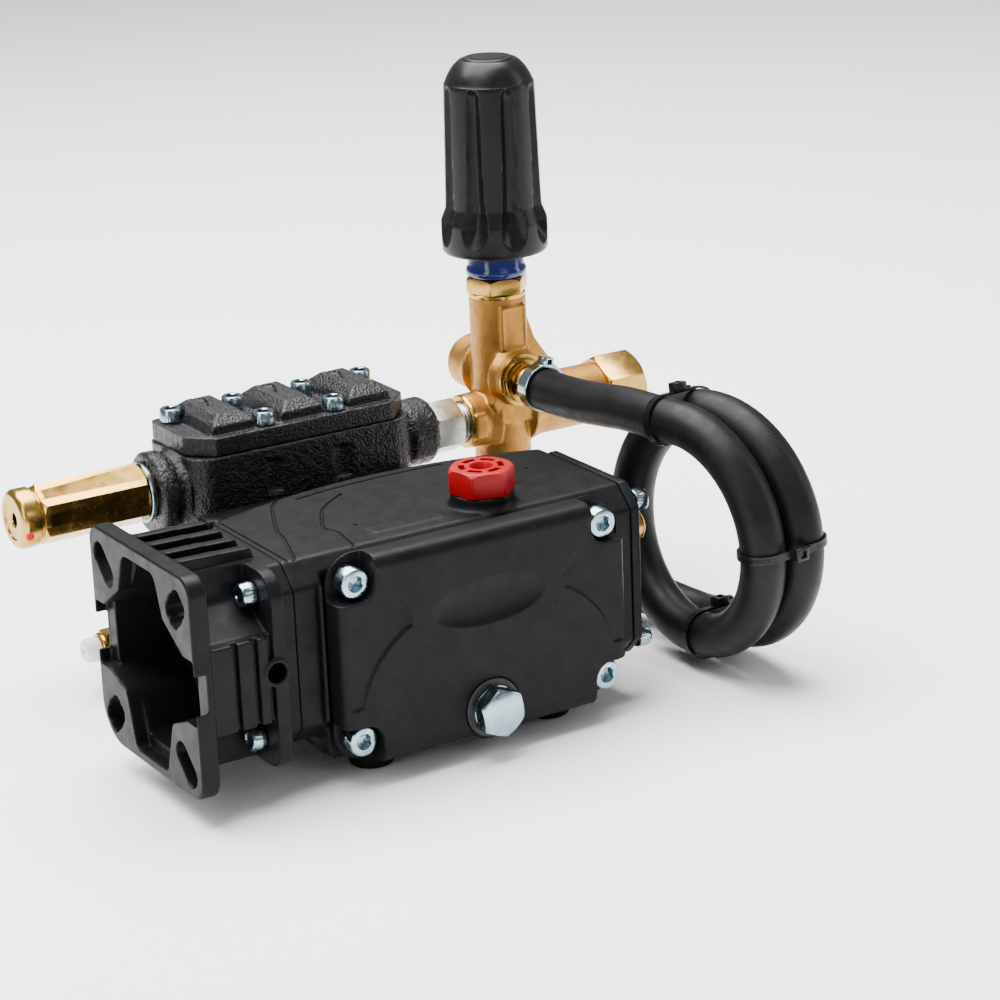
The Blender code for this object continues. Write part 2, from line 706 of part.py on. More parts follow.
def screw_columns(radius, near_x=None):
    """Upright cutters on the valve cover's screws, or only on those beside one rib."""
    columns = []
    for dx, dy in VALVE_SCREWS:
        x = CYLINDER_MIDDLE + dx
        if near_x is None or abs(x - near_x) < CYLINDER_PITCH / 2 + 1.0:
            columns.append(cylinder((x, VALVE_AXIS_Y + dy, 24.0), "Z", radius, 50.0))
    return columns


def valve_cover():
    low_x, high_x = HEAD_X[0] + 0.8, HEAD_X[1] - 0.8
    low_y, high_y = HEAD_Y[0] + 0.6, HEAD_Y[1] - 0.6
    corners = [
        (low_x + 11.0, low_y), (high_x - 11.0, low_y), (high_x, low_y + 11.0),
        (high_x, high_y), (low_x, high_y), (low_x, low_y + 11.0),
    ]
    plan = round_corners(corners, [4.0, 4.0, 4.0, 4.0, 4.0, 4.0])
    plate = prism(plan, "Z", HEAD_Z[1] + GAP, VALVE_COVER_TOP)
    ribs = []
    for x in CYLINDERS:
        section = [(x - 11.5, 50.0), (x + 11.5, 50.0), (x + 9.0, 57.0), (x + 6.0, 59.6), (x - 6.0, 59.6), (x - 9.0, 57.0)]
        rib = prism(section, "Y", low_y + 3.5, high_y - 2.0)
        ribs.append(cut(rib, *screw_columns(6.0, near_x=x)))
    plugs = [cylinder((x, VALVE_AXIS_Y, 46.0), "-Z", 11.6, 8.0) for x in CYLINDERS]
    body = unite(plate, *ribs, *plugs)
    part("valve_cover", cut(body, *screw_columns(3.3)), cast_iron())

    for index, (dx, dy) in enumerate(VALVE_SCREWS, 1):
        seat = (CYLINDER_MIDDLE + dx, VALVE_AXIS_Y + dy, VALVE_COVER_TOP)
        part(f"valve_cover_screw_{index}", cap_screw(seat, "Z", 3.0, 5.0, 6.0, 24.0, 5.0), zinc())


def discharge_valve(index):
    x = CYLINDERS[index]
    seat = 10.0 + GAP
    profile = [(0, 20.0), (3.0, 20.0), (3.0, 4.0), (9.8, 2.6), (9.8, 0), (0, 0)]
    valve = turned((x, VALVE_AXIS_Y, seat), "Z", profile)
    part(f"discharge_valve_{index + 1}", valve, steel(), pivot=(x, VALVE_AXIS_Y, seat))


def relief_valve():
    """The brass valve that leaves the discharge gallery towards the engine."""
    y, z = VALVE_AXIS_Y, GALLERY_Z
    barrel = hexagon((8.5, y, z), "X", 24.0, 51.0, turn=30.0)
    collar = turned(
        (-2.0, y, z), "X",
        [(0, 13.0), (12.4, 13.0), (12.4, 10.6), (11.6, 10.0), (11.6, 9.0), (13.2, 8.4), (13.2, 2.4), (11.6, 0), (0, 0)])
    stub = cylinder((58.0, y, z), "X", 9.4, 13.5)
    washer = cylinder((58.8, y, z), "X", 13.4, 2.2)
    body = unite(barrel, collar, stub, washer)
    bores = [
        cylinder((-5.0, y, z), "X", 3.0, 30.0),
        cylinder((20.0, y, z), "X", 5.5, 60.0),
    ]
    part("relief_valve", cut(body, *bores), brass())


def thermal_relief():
    """The small valve that lets hot water out of the inlet gallery."""
    y, z = INLET_Y, INLET_Z
    barrel = hexagon((33.0, y, z), "X", 14.0, 30.5)
    collar = cylinder((31.0, y, z), "X", 6.8, 3.0)
    stub = cylinder((62.0, y, z), "X", 7.6, 10.0)
    body = cut(unite(barrel, collar, stub), cylinder((20.0, y, z), "X", 3.2, 70.0))
    part("thermal_relief", body, brass())
    profile = [(0, 7.0), (4.2, 7.0), (5.4, 5.6), (5.6, 0), (0, 0)]
    tip = unite(turned((30.7, y, z), "-X", profile), cylinder((30.0, y, z), "X", 2.9, 6.0))
    part("thermal_relief_tip", cut(tip, cylinder((20.0, y, z), "X", 1.2, 20.0)), white_plastic())


def inlet_tee():
    """Suction connection: a hose barb towards the coil and a swivel for the garden hose."""
    y, z = INLET_Y, INLET_Z
    run = cylinder((197.3, y, z), "X", 11.0, 52.0)
    stub = cylinder((188.0, y, z), "X", 7.6, 12.0)
    hexed = hexagon((197.3, y, z), "X", 24.0, 10.0)
    swivel = cylinder((247.0, y, z), "X", 16.5, 17.0)
    branch = cylinder((INLET_BARB_X, y, z), "-Y", 8.5, 15.0)
    barb = barb_ridges((INLET_BARB_X, y - 14.0, z), 7.6)
    body = unite(run, stub, hexed, swivel, branch, barb)
    bores = [
        cylinder((180.0, y, z), "X", 5.5, 70.0),
        cylinder((252.0, y, z), "X", 12.5, 40.0),
        cylinder((INLET_BARB_X, 80.0, z), "Y", 4.0, 40.0),
    ]
    part("inlet_tee", cut(body, *bores), brass())


def barb_ridges(start, length):
    """A hose barb along -Y: cones that widen towards the fitting."""
    steps = 2
    rise = length / steps
    profile = [(0, length)]
    for step in range(steps, 0, -1):
        profile.append((5.6, step * rise))
        profile.append((6.7, (step - 1) * rise + 0.6))
        profile.append((5.4, (step - 1) * rise))
    profile.append((0, 0))
    return turned(start, "-Y", profile)


# ---------------------------------------------------------------- unloader valve

def gallery_nipple():
    y, z = VALVE_AXIS_Y, GALLERY_Z
    hexed = hexagon((204.5, y, z), "X", 22.0, 14.5, turn=30.0)
    left = cylinder((192.0, y, z), "X", 9.4, 14.0)
    right = cylinder((217.0, y, z), "X", 9.4, 14.0)
    body = cut(unite(hexed, left, right), cylinder((185.0, y, z), "X", 5.0, 60.0))
    part("gallery_nipple", body, zinc())


def unloader_body():
    x, y = UNLOADER
    z = GALLERY_Z
    tube = turned(
        (x, y, UNLOADER_BOTTOM), "Z",
        [(0, 97.0), (13.2, 97.0), (13.2, 2.0), (11.2, 0), (0, 0)])
    inlet = turned((x, y, z), "-X", [(0, 22.4), (11.7, 22.4), (12.7, 21.4), (12.7, 0), (0, 0)])
    outlet = cylinder((x, y, z + 0.8), "X", 14.0, 54.0)
    outlet_hex = hexagon((x + 51.5, y, z + 0.8), "X", 30.0, 21.0, turn=30.0)
    bypass = turned((x, y, BYPASS_Z), "-Y", [(0, 22.0), (11.0, 22.0), (12.0, 21.0), (12.0, 0), (0, 0)])
    back_boss = turned((x, y, BYPASS_Z - 0.5), "Y", [(0, 27.5), (12.0, 27.5), (13.0, 26.5), (13.0, 0), (0, 0)])
    gusset = prism([(x + 5.0, 75.0), (x + 13.0, 72.0), (x + 30.0, 40.0), (x + 30.0, 30.0), (x + 5.0, 30.0)], "Y", y - 5.0, y + 5.0)
    body = unite(tube, inlet, outlet, outlet_hex, bypass, back_boss, gusset)
    bores = [
        cylinder((x, y, 15.0), "Z", 8.6, 80.0),
        cylinder((x - 30.0, y, z), "X", 5.0, 35.0),
        cylinder((x - 30.0, y, z), "X", 9.8, 16.0),
        cylinder((x + 4.0, y, z + 0.8), "X", INJECTOR_RADIUS, 56.0),
        cylinder((x + 56.0, y, z + 0.8), "X", 9.5, 20.0),
        cylinder((x, y - 30.0, BYPASS_Z), "Y", 4.2, 30.0),
        cylinder((x, y - 30.0, BYPASS_Z), "Y", 7.0, 18.0),
    ]
    part("unloader_body", cut(body, *bores), brass())


def unloader_guide_nut():
    x, y = UNLOADER
    nut = hexagon((x, y, UNLOADER_TOP + GAP), "Z", 25.6, 7.1, turn=16.7)
    spigot = cylinder((x, y, UNLOADER_TOP + 1.0), "-Z", 8.3, 6.0)
    sleeve = cylinder((x, y, UNLOADER_TOP + 5.0), "Z", 9.5, 12.0)
    bore = cylinder((x, y, 70.0), "Z", 5.0, 40.0)
    part("unloader_guide_nut", cut(unite(nut, spigot, sleeve), bore), brass())


def unloader_lock_ring():
    x, y = UNLOADER
    profile = [(13.3, 11.5), (13.1, 6.0), (14.1, 4.0), (14.1, 1.6), (13.0, 0.3), (9.8, 0.3), (9.8, 11.5)]
    part("unloader_lock_ring", turned((x, y, UNLOADER_TOP + 7.4), "Z", profile), blue_paint())


def unloader_knob():
    """The pressure knob: a tall fluted cap that flares at the skirt."""
    x, y = UNLOADER
    height = KNOB_TOP - KNOB_BOTTOM
    shell = turned(
        (x, y, KNOB_BOTTOM), "Z",
        [
            (0, height), (9.5, height), (10.4, height - 3.4), (17.0, height - 7.5), (20.0, height - 15.0),
            (20.6, 45.0), (24.3, 12.0), (24.5, 0), (0, 0),
        ])
    cutters = [
        cylinder((x, y, KNOB_BOTTOM - 5.0), "Z", 16.5, 40.0),
        cylinder((x, y, KNOB_BOTTOM), "Z", 5.2, 66.0),
    ]
    for step in range(8):
        angle = math.radians(45.0 * step + 216.2)
        reach = 24.6
        flute_x, flute_y = x + reach * math.cos(angle), y + reach * math.sin(angle)
        cutters.append(cylinder((flute_x, flute_y, KNOB_BOTTOM + 14.0), "Z", 6.0, 62.0, sides=8))
    part("unloader_knob", cut(shell, *cutters), black_plastic(), pivot=(x, y, KNOB_BOTTOM))


def unloader_inside():
    x, y = UNLOADER
    screw = unite(
        cylinder((x, y, 79.0), "Z", 4.7, 86.0),
        cylinder((x, y, 77.3), "Z", 7.8, 2.4),
    )
    part("adjusting_screw", screw, zinc(), pivot=(x, y, 77.3))

    wire = bpy.data.curves.new("spring", "CURVE")
    wire.dimensions = "3D"
    wire.bevel_depth = 1.2 * MM
    wire.bevel_resolution = 0
    wire.use_fill_caps = True
    turns, steps_per_turn = 5, 10
    low, high = 46.0, 75.6
    count = turns * steps_per_turn
    spline = wire.splines.new("POLY")
    spline.points.add(count)
    for step, spot in enumerate(spline.points):
        angle = 2 * math.pi * step / steps_per_turn
        centre = place(x + 6.2 * math.cos(angle), y + 6.2 * math.sin(angle), low + (high - low) * step / count)
        spot.co = (*centre, 1.0)
    part("unloader_spring", bake(new_object("spring", wire)), steel())

    piston = unite(
        cylinder((x, y, 18.0), "Z", 4.4, 24.0),
        cylinder((x, y, 41.0), "Z", 7.6, 3.2),
    )
    part("unloader_piston", piston, steel(), pivot=(x, y, 18.0))


# ---------------------------------------------------------------- bypass hose

def coil_point(degrees):
    """The hose's centre line on its turn and a half beside the end cover."""
    turn = (degrees - 80.0) / 360.0
    angle = math.radians(degrees)
    x = 248.0 + 20.4 * turn + 5.0 * math.sin(2 * math.pi * turn)
    y = COIL_CENTRE[0] + COIL_RADIUS * math.cos(angle)
    z = COIL_CENTRE[1] + COIL_RADIUS * math.sin(angle)
    return (x, y, z)


def hose_route():
    coil = [coil_point(COIL_START + (COIL_END - COIL_START) * step / 36) for step in range(37)]
    return HOSE_LEAD_IN + coil + HOSE_LEAD_OUT


def bypass_hose():
    path = hose_route()
    curve = bpy.data.curves.new("bypass_hose", "CURVE")
    curve.dimensions = "3D"
    curve.bevel_depth = HOSE_RADIUS * MM
    curve.bevel_resolution = 2
    curve.use_fill_caps = True
    spline = curve.splines.new("POLY")
    spline.points.add(len(path) - 1)
    for spot, centre in zip(spline.points, path):
        spot.co = (*place(*centre), 1.0)
    part("bypass_hose", bake(new_object("hose", curve)), rubber())


def bypass_barb():
    x, y = UNLOADER
    collar = cylinder((x, y - 22.4, BYPASS_Z), "-Y", 8.6, 2.4)
    stub = cylinder((x, y - 24.0, BYPASS_Z), "Y", 6.7, 11.6)
    barb = barb_ridges((x, y - 24.4, BYPASS_Z), 5.6)
    body = unite(collar, stub, barb)
    part("bypass_barb", cut(body, cylinder((x, 80.0, BYPASS_Z), "Y", 3.6, 60.0)), brass())


def hose_clamp(name, centre, ear_axis):
    """A stepless band with one pinched ear."""
    inner = HOSE_RADIUS + 0.5
    band = turned(
        (centre[0], centre[1] - 3.4, centre[2]), "Y",
        [(inner + 0.9, 6.8), (inner + 0.9, 0), (inner, 0), (inner, 6.8)])
    x, y, z = centre
    low = (x - 3.2, y - 3.2, z + inner + 0.3)
    high = (x + 3.2, y + 3.2, z + inner + 3.4)
    ear = block(low, high, rounding=0.9, segments=1)
    spin = Matrix.Rotation(math.radians(ear_axis), 4, "Y")
    home = place(*centre)
    ear.data.transform(Matrix.Translation(home) @ spin @ Matrix.Translation(-home))
    part(name, unite(band, ear), zinc())


def cable_tie(name, degrees, buckle_side):
    """A band round the two neighbouring strands of the coil."""
    first, second = Vector(coil_point(degrees)), Vector(coil_point(degrees + 360.0))
    before, after = Vector(coil_point(degrees - 3.0)), Vector(coil_point(degrees + 3.0))
    along = (after - before).normalized()
    across = (second - first).normalized()
    outward = along.cross(across).normalized()
    across = outward.cross(along).normalized()
    middle = (first + second) / 2
    half = (second - first).length / 2
    inner = HOSE_RADIUS + 1.2

    def stadium(radius):
        return arc((half, 0.0), radius, -90, 90, 6) + arc((-half, 0.0), radius, 90, 270, 6)

    band = cut(prism(stadium(inner + 1.2), "Z", -2.4, 2.4), prism(stadium(inner), "Z", -5.0, 5.0))
    head_y = (inner + 0.4) * buckle_side
    head_low, head_high = sorted((head_y, head_y + 5.5 * buckle_side))
    head = block((-3.6, head_low, -4.0), (3.6, head_high, 4.0))
    band = unite(band, head)
    frame = Matrix((
        (across.x, outward.x, along.x, 0),
        (across.y, outward.y, along.y, 0),
        (across.z, outward.z, along.z, 0),
        (0, 0, 0, 1),
    ))
    band.data.transform(Matrix.Translation(-place(0, 0, 0)))
    band.data.transform(Matrix.Translation(place(*middle)) @ frame)
    part(name, band, black_plastic())


# ---------------------------------------------------------------- assembly

def main():
    clear_scene()
    parts = bpy.data.collections.new("pressure_washer_pump")
    bpy.context.scene.collection.children.link(parts)
    crankcase()
    crankcase_cover()
    crankcase_screws()
    drain_plug()
    oil_filler_cap()
    end_cover()
    sight_glass()
    engine_flange()
    crankshaft()
    bearing("bearing_engine_side", 50.2, 15.2, 31.0, 16.0)
    bearing("bearing_cover_side", 199.0, 10.2, 23.5, 9.0)
    for index in range(3):
        connecting_rod(index)
        plunger(index)
        discharge_valve(index)
    manifold_head()
    valve_cover()
    relief_valve()
    thermal_relief()
    inlet_tee()
    gallery_nipple()
    unloader_body()
    unloader_guide_nut()
    unloader_lock_ring()
    unloader_knob()
    unloader_inside()
    bypass_hose()
    bypass_barb()
    hose_clamp("hose_clamp_unloader", (UNLOADER[0], 86.0, BYPASS_Z - 0.1), 12.0)
    hose_clamp("hose_clamp_inlet", (INLET_BARB_X, 91.3, INLET_Z), 0.0)
    cable_tie("cable_tie_top", 80.0, 1)
    cable_tie("cable_tie_side", 178.0, 1)
    cable_tie("cable_tie_bottom", 264.0, -1)


main()
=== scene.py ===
"""The looks of the pressure washer pump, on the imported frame.

Sizes are millimetres in the shaft frame: X runs along the crankshaft from the face that bolts to
the engine, Z is up, and Y and Z start on the shaft's axis. at() turns them into the row frame.
"""

import json
import math

import bmesh
import bpy
from mathutils import Matrix, Vector


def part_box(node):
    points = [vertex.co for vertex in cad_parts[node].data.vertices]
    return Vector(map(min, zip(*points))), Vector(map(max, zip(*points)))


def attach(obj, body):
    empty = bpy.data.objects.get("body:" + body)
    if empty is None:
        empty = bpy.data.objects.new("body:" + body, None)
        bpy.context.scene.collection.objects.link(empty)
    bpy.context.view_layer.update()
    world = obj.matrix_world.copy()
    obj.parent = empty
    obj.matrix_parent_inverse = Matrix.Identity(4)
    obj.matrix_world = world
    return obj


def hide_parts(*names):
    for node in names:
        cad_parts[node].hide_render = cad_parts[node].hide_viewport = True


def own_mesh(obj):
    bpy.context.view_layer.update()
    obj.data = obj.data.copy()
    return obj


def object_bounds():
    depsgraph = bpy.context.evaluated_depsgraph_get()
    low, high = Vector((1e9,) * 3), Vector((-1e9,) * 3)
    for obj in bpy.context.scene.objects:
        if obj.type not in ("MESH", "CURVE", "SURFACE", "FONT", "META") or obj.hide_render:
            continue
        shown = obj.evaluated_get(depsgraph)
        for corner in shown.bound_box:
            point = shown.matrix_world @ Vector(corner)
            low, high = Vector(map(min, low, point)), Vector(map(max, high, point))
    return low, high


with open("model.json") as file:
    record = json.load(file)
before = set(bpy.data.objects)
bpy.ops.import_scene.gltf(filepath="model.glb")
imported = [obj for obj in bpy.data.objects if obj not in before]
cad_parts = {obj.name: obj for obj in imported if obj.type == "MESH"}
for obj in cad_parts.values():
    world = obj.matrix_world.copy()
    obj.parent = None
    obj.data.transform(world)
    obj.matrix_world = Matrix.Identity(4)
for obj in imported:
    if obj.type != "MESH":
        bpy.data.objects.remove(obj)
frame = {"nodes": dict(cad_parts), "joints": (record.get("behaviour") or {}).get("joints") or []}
CAD_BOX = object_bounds()

MM = 0.001
JOINTS = {joint["name"]: joint for joint in frame["joints"]}
SHAFT = Vector(JOINTS["crankshaft_spin"]["pos_m"])
ORIGIN = Vector((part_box("engine_flange")[0].x, SHAFT.y, SHAFT.z))
BODY = "pump_body"


def at(x, y, z):
    """A point of the shaft frame, in the row frame."""
    return ORIGIN + Vector((x, y, z)) * MM


def extent(node):
    """A CAD node's lowest and highest corner, in the shaft frame."""
    low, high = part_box(node)
    return (low - ORIGIN) / MM, (high - ORIGIN) / MM


def middle(node):
    low, high = extent(node)
    return (low + high) / 2


END = extent("end_cover")
COVER = extent("crankcase_cover")
FLANGE = extent("engine_flange")
HEAD = extent("manifold_head")
LID = extent("valve_cover")
UNLOADER = middle("unloader_lock_ring")
KNOB = extent("unloader_knob")
CYLINDERS = [middle(f"plunger_{index}").x for index in (1, 2, 3)]
GALLERY = middle("gallery_nipple")
COVER_SCREWS = [middle(f"cover_screw_{index}") for index in (1, 2, 3, 4)]
SIDE_SCREWS = [middle(f"flange_screw_{index}") for index in (1, 2, 3, 4)]
LID_SCREWS = [middle(f"valve_cover_screw_{index}") for index in range(1, 7)]


# ---------------------------------------------------------------- camera and light

def make_camera():
    """The photograph's viewpoint: turned left of the cover and looking down on it."""
    azimuth, elevation, roll = math.radians(-31.295), math.radians(18.575), math.radians(-2.333)
    look = Vector((-math.sin(azimuth) * math.cos(elevation), math.cos(azimuth) * math.cos(elevation),
                   -math.sin(elevation)))
    right = Vector((math.cos(azimuth), math.sin(azimuth), 0.0))
    up = right.cross(look)
    rolled_right = right * math.cos(roll) + up * math.sin(roll)
    rolled_up = up * math.cos(roll) - right * math.sin(roll)
    turn = Matrix((rolled_right, rolled_up, -look)).transposed().to_4x4()
    data = bpy.data.cameras.new("photo_camera")
    data.sensor_width = 36.0
    data.lens = 106.94
    camera = bpy.data.objects.new("photo_camera", data)
    camera.matrix_world = Matrix.Translation(at(-448.91, -1015.46, 432.35)) @ turn
    bpy.context.scene.collection.objects.link(camera)
    bpy.context.scene.camera = camera


def area_light(name, place, size, power):
    """A rectangular lamp that points at the middle of the pump."""
    data = bpy.data.lights.new(name, "AREA")
    data.shape = "RECTANGLE"
    data.size, data.size_y = size
    data.energy = power
    lamp = bpy.data.objects.new(name, data)
    lamp.location = place
    lamp.rotation_euler = (Vector((0.0, 0.0, 0.08)) - lamp.location).to_track_quat("-Z", "Y").to_euler()
    bpy.context.scene.collection.objects.link(lamp)


def make_studio():
    """A white floor, a large soft light overhead, one strip on each side and a weak fill in front."""
    world = bpy.data.worlds.new("studio")
    world.use_nodes = True
    world.node_tree.nodes["Background"].inputs["Color"].default_value = (1.0, 1.0, 1.0, 1.0)
    world.node_tree.nodes["Background"].inputs["Strength"].default_value = 0.36
    bpy.context.scene.world = world
    area_light("overhead", (-0.1, 0.35, 1.5), (1.8, 1.5), 132.0)
    area_light("left_strip", (-1.2, -0.4, 0.7), (0.35, 1.2), 7.0)
    area_light("right_strip", (1.2, -0.5, 0.6), (0.3, 1.1), 5.0)
    area_light("front_fill", (0.1, -1.5, 0.9), (0.8, 0.4), 2.0)

    bm = bmesh.new()
    bmesh.ops.create_grid(bm, x_segments=2, y_segments=2, size=6.0)
    mesh = bpy.data.meshes.new("floor")
    bm.to_mesh(mesh)
    bm.free()
    floor = bpy.data.objects.new("floor", mesh)
    floor.location.z = CAD_BOX[0].z - 0.0002
    paper = surface("floor_paper", (0.95, 0.95, 0.95), 0.8, spread=0.02, tint=0.01, specular=0.2)
    floor.data.materials.append(paper)
    bpy.context.scene.collection.objects.link(floor)


# ---------------------------------------------------------------- materials

def surface(name, colour, roughness, metallic=0.0, spread=0.08, tint=0.1, tint_size=8.0, grain=None,
            specular=0.5, marks=None):
    """A material with a drifting colour, uneven gloss and a fine bump.

    tint_size and grain's first number are the size of the pattern in mm; grain's second is the
    bump's depth in mm. marks is a colour for sparse small specks, with their share of the surface.
    """
    found = bpy.data.materials.get(name)
    if found:
        return found
    made = bpy.data.materials.new(name)
    made.use_nodes = True
    nodes, links = made.node_tree.nodes, made.node_tree.links
    shader = nodes["Principled BSDF"]
    shader.inputs["Metallic"].default_value = metallic
    shader.inputs["Specular IOR Level"].default_value = specular
    coords = nodes.new("ShaderNodeTexCoord")

    def noise(size, detail):
        pattern = nodes.new("ShaderNodeTexNoise")
        pattern.inputs["Scale"].default_value = 1.0 / (size * MM)
        pattern.inputs["Detail"].default_value = detail
        links.new(coords.outputs["Object"], pattern.inputs["Vector"])
        return pattern.outputs["Fac"]

    def ramp(value, low, high, out_low, out_high):
        mapped = nodes.new("ShaderNodeMapRange")
        for index, number in enumerate((low, high, out_low, out_high), 1):
            mapped.inputs[index].default_value = number
        links.new(value, mapped.inputs["Value"])
        return mapped.outputs["Result"]

    def mix(factor, first, second):
        blended = nodes.new("ShaderNodeMix")
        blended.data_type = "RGBA"
        links.new(factor, blended.inputs["Factor"])
        for socket, value in (("A", first), ("B", second)):
            target = [s for s in blended.inputs if s.name == socket and s.type == "RGBA"][0]
            if isinstance(value, tuple):
                target.default_value = (*value, 1.0)
            else:
                links.new(value, target)
        return [s for s in blended.outputs if s.type == "RGBA"][0]

    darker = tuple(channel * (1.0 - tint) for channel in colour)
    lighter = tuple(min(1.0, channel * (1.0 + tint)) for channel in colour)
    shade = mix(ramp(noise(tint_size, 4.0), 0.35, 0.65, 0.0, 1.0), darker, lighter)
    if marks:
        speck_colour, share, size = marks
        speck = ramp(noise(size, 2.0), 0.72 - share, 0.76 - share, 0.0, 1.0)
        shade = mix(speck, shade, speck_colour)
    links.new(shade, shader.inputs["Base Color"])
    gloss = ramp(noise(tint_size * 0.4, 3.0), 0.3, 0.7, roughness - spread, roughness + spread)
    links.new(gloss, shader.inputs["Roughness"])
    if grain:
        size, depth = grain
        bump = nodes.new("ShaderNodeBump")
        bump.inputs["Strength"].default_value = 1.0
        bump.inputs["Distance"].default_value = depth * MM
        links.new(noise(size, 3.0), bump.inputs["Height"])
        links.new(bump.outputs["Normal"], shader.inputs["Normal"])
    return made


def powder_coat():
    return surface("powder_coat", (0.0036, 0.0037, 0.0043), 0.42, tint=0.2, tint_size=20.0, grain=(0.5, 0.07),
                   specular=0.11, marks=((0.018, 0.018, 0.022), 0.05, 0.6))


def painted_iron():
    return surface("painted_iron", (0.0035, 0.0035, 0.004), 0.17, spread=0.07, tint=0.3, tint_size=5.0,
                   grain=(1.0, 0.8), specular=0.34)


def cast_brass():
    return surface("cast_brass", (0.40, 0.195, 0.045), 0.46, metallic=1.0, tint=0.16, tint_size=9.0,
                   grain=(0.6, 0.16))


def machined_brass():
    return surface("machined_brass", (0.50, 0.295, 0.07), 0.24, metallic=1.0, spread=0.06, tint=0.07,
                   tint_size=14.0, grain=(0.35, 0.008))


def zinc_plate():
    return surface("zinc_plate", (0.30, 0.40, 0.45), 0.17, metallic=1.0, spread=0.08, tint=0.1, tint_size=3.0,
                   grain=(0.3, 0.01))


def plain_steel():
    return surface("plain_steel", (0.40, 0.39, 0.34), 0.34, metallic=1.0, tint=0.12, tint_size=6.0,
                   grain=(0.3, 0.015))


def ground_steel():
    return surface("ground_steel", (0.56, 0.57, 0.58), 0.28, metallic=1.0, tint=0.06, tint_size=10.0,
                   grain=(0.2, 0.005))


def bearing_bronze():
    return surface("bearing_bronze", (0.55, 0.33, 0.13), 0.36, metallic=1.0, tint=0.12, tint_size=9.0,
                   grain=(0.4, 0.02))


def knob_plastic():
    return surface("knob_plastic", (0.0045, 0.0045, 0.005), 0.32, spread=0.06, tint=0.15, tint_size=12.0,
                   grain=(0.25, 0.012), specular=0.2)


def tie_nylon():
    return surface("tie_nylon", (0.004, 0.004, 0.0045), 0.3, tint=0.15, tint_size=5.0,
                   grain=(0.4, 0.01), specular=0.25)


def cap_plastic():
    return surface("cap_plastic", (0.30, 0.0015, 0.005), 0.36, spread=0.06, tint=0.08, tint_size=9.0,
                   grain=(0.5, 0.02), specular=0.22)


def white_nylon():
    return surface("white_nylon", (0.80, 0.78, 0.74), 0.4, tint=0.05, tint_size=6.0, grain=(0.5, 0.01))


def ring_enamel():
    return surface("ring_enamel", (0.004, 0.013, 0.115), 0.16, spread=0.04, tint=0.15, tint_size=6.0,
                   grain=(0.8, 0.01))


def seal_rubber():
    return surface("seal_rubber", (0.009, 0.009, 0.009), 0.6, tint=0.2, tint_size=6.0, grain=(0.5, 0.02))


def hose_rubber():
    """Black rubber that keeps the fine cross lines of the cloth it was cured in."""
    made = surface("hose_rubber", (0.004, 0.004, 0.0045), 0.46, spread=0.07, tint=0.25, tint_size=14.0,
                   grain=(0.5, 0.03), specular=0.16)
    nodes, links = made.node_tree.nodes, made.node_tree.links
    if "wrap" in nodes:
        return made
    along = nodes.new("ShaderNodeUVMap")
    along.name = "wrap"
    along.uv_map = "along"
    lines = nodes.new("ShaderNodeTexWave")
    lines.bands_direction = "Y"
    lines.inputs["Scale"].default_value = 260.0
    lines.inputs["Distortion"].default_value = 3.0
    lines.inputs["Detail"].default_value = 2.0
    links.new(along.outputs["UV"], lines.inputs["Vector"])
    bump = nodes.new("ShaderNodeBump")
    bump.inputs["Strength"].default_value = 0.5
    bump.inputs["Distance"].default_value = 0.03 * MM
    links.new(lines.outputs["Fac"], bump.inputs["Height"])
    first = [node for node in nodes if node.type == "BUMP" and node is not bump][0]
    links.new(first.outputs["Normal"], bump.inputs["Normal"])
    links.new(bump.outputs["Normal"], nodes["Principled BSDF"].inputs["Normal"])
    return made


# ---------------------------------------------------------------- mesh tools

AXIS_TURN = {
    "X": Matrix.Rotation(math.radians(90), 4, "Y"),
    "-X": Matrix.Rotation(math.radians(-90), 4, "Y"),
    "Y": Matrix.Rotation(math.radians(-90), 4, "X"),
    "-Y": Matrix.Rotation(math.radians(90), 4, "X"),
    "Z": Matrix.Identity(4),
    "-Z": Matrix.Rotation(math.radians(180), 4, "X"),
}

# Rows carry an outline's two directions and its thickness direction into X, Y and Z.
OUTLINE_TURN = {
    "X": Matrix(((0, 0, 1, 0), (1, 0, 0, 0), (0, 1, 0, 0), (0, 0, 0, 1))),
    "Y": Matrix(((1, 0, 0, 0), (0, 0, -1, 0), (0, 1, 0, 0), (0, 0, 0, 1))),
    "Z": Matrix.Identity(4),
}


def from_bmesh(bm, matrix=None):
    bmesh.ops.recalc_face_normals(bm, faces=bm.faces)
    if matrix is not None:
        bmesh.ops.transform(bm, matrix=matrix, verts=bm.verts)
    mesh = bpy.data.meshes.new("working")
    bm.to_mesh(mesh)
    bm.free()
    obj = bpy.data.objects.new("working", mesh)
    bpy.context.scene.collection.objects.link(obj)
    return obj


def bake(obj):
    """Gives an object the mesh that its modifiers make, with its place in its vertices."""
    bpy.context.view_layer.update()
    graph = bpy.context.evaluated_depsgraph_get()
    mesh = bpy.data.meshes.new_from_object(obj.evaluated_get(graph))
    mesh.transform(obj.matrix_world)
    baked = bpy.data.objects.new("working", mesh)
    bpy.context.scene.collection.objects.link(baked)
    bpy.data.objects.remove(obj, do_unlink=True)
    return baked


def bar(start, axis, radius, length, sides=48, turn=0.0, tip=None):
    """A round or many-sided bar from its start along an axis; tip is the far end's radius."""
    bm = bmesh.new()
    bmesh.ops.create_cone(bm, cap_ends=True, segments=sides, radius1=radius * MM,
                          radius2=(radius if tip is None else tip) * MM, depth=length * MM)
    lift = Matrix.Translation((0, 0, length * MM / 2))
    spin = Matrix.Rotation(math.radians(turn), 4, "Z")
    return from_bmesh(bm, Matrix.Translation(at(*start)) @ AXIS_TURN[axis] @ spin @ lift)


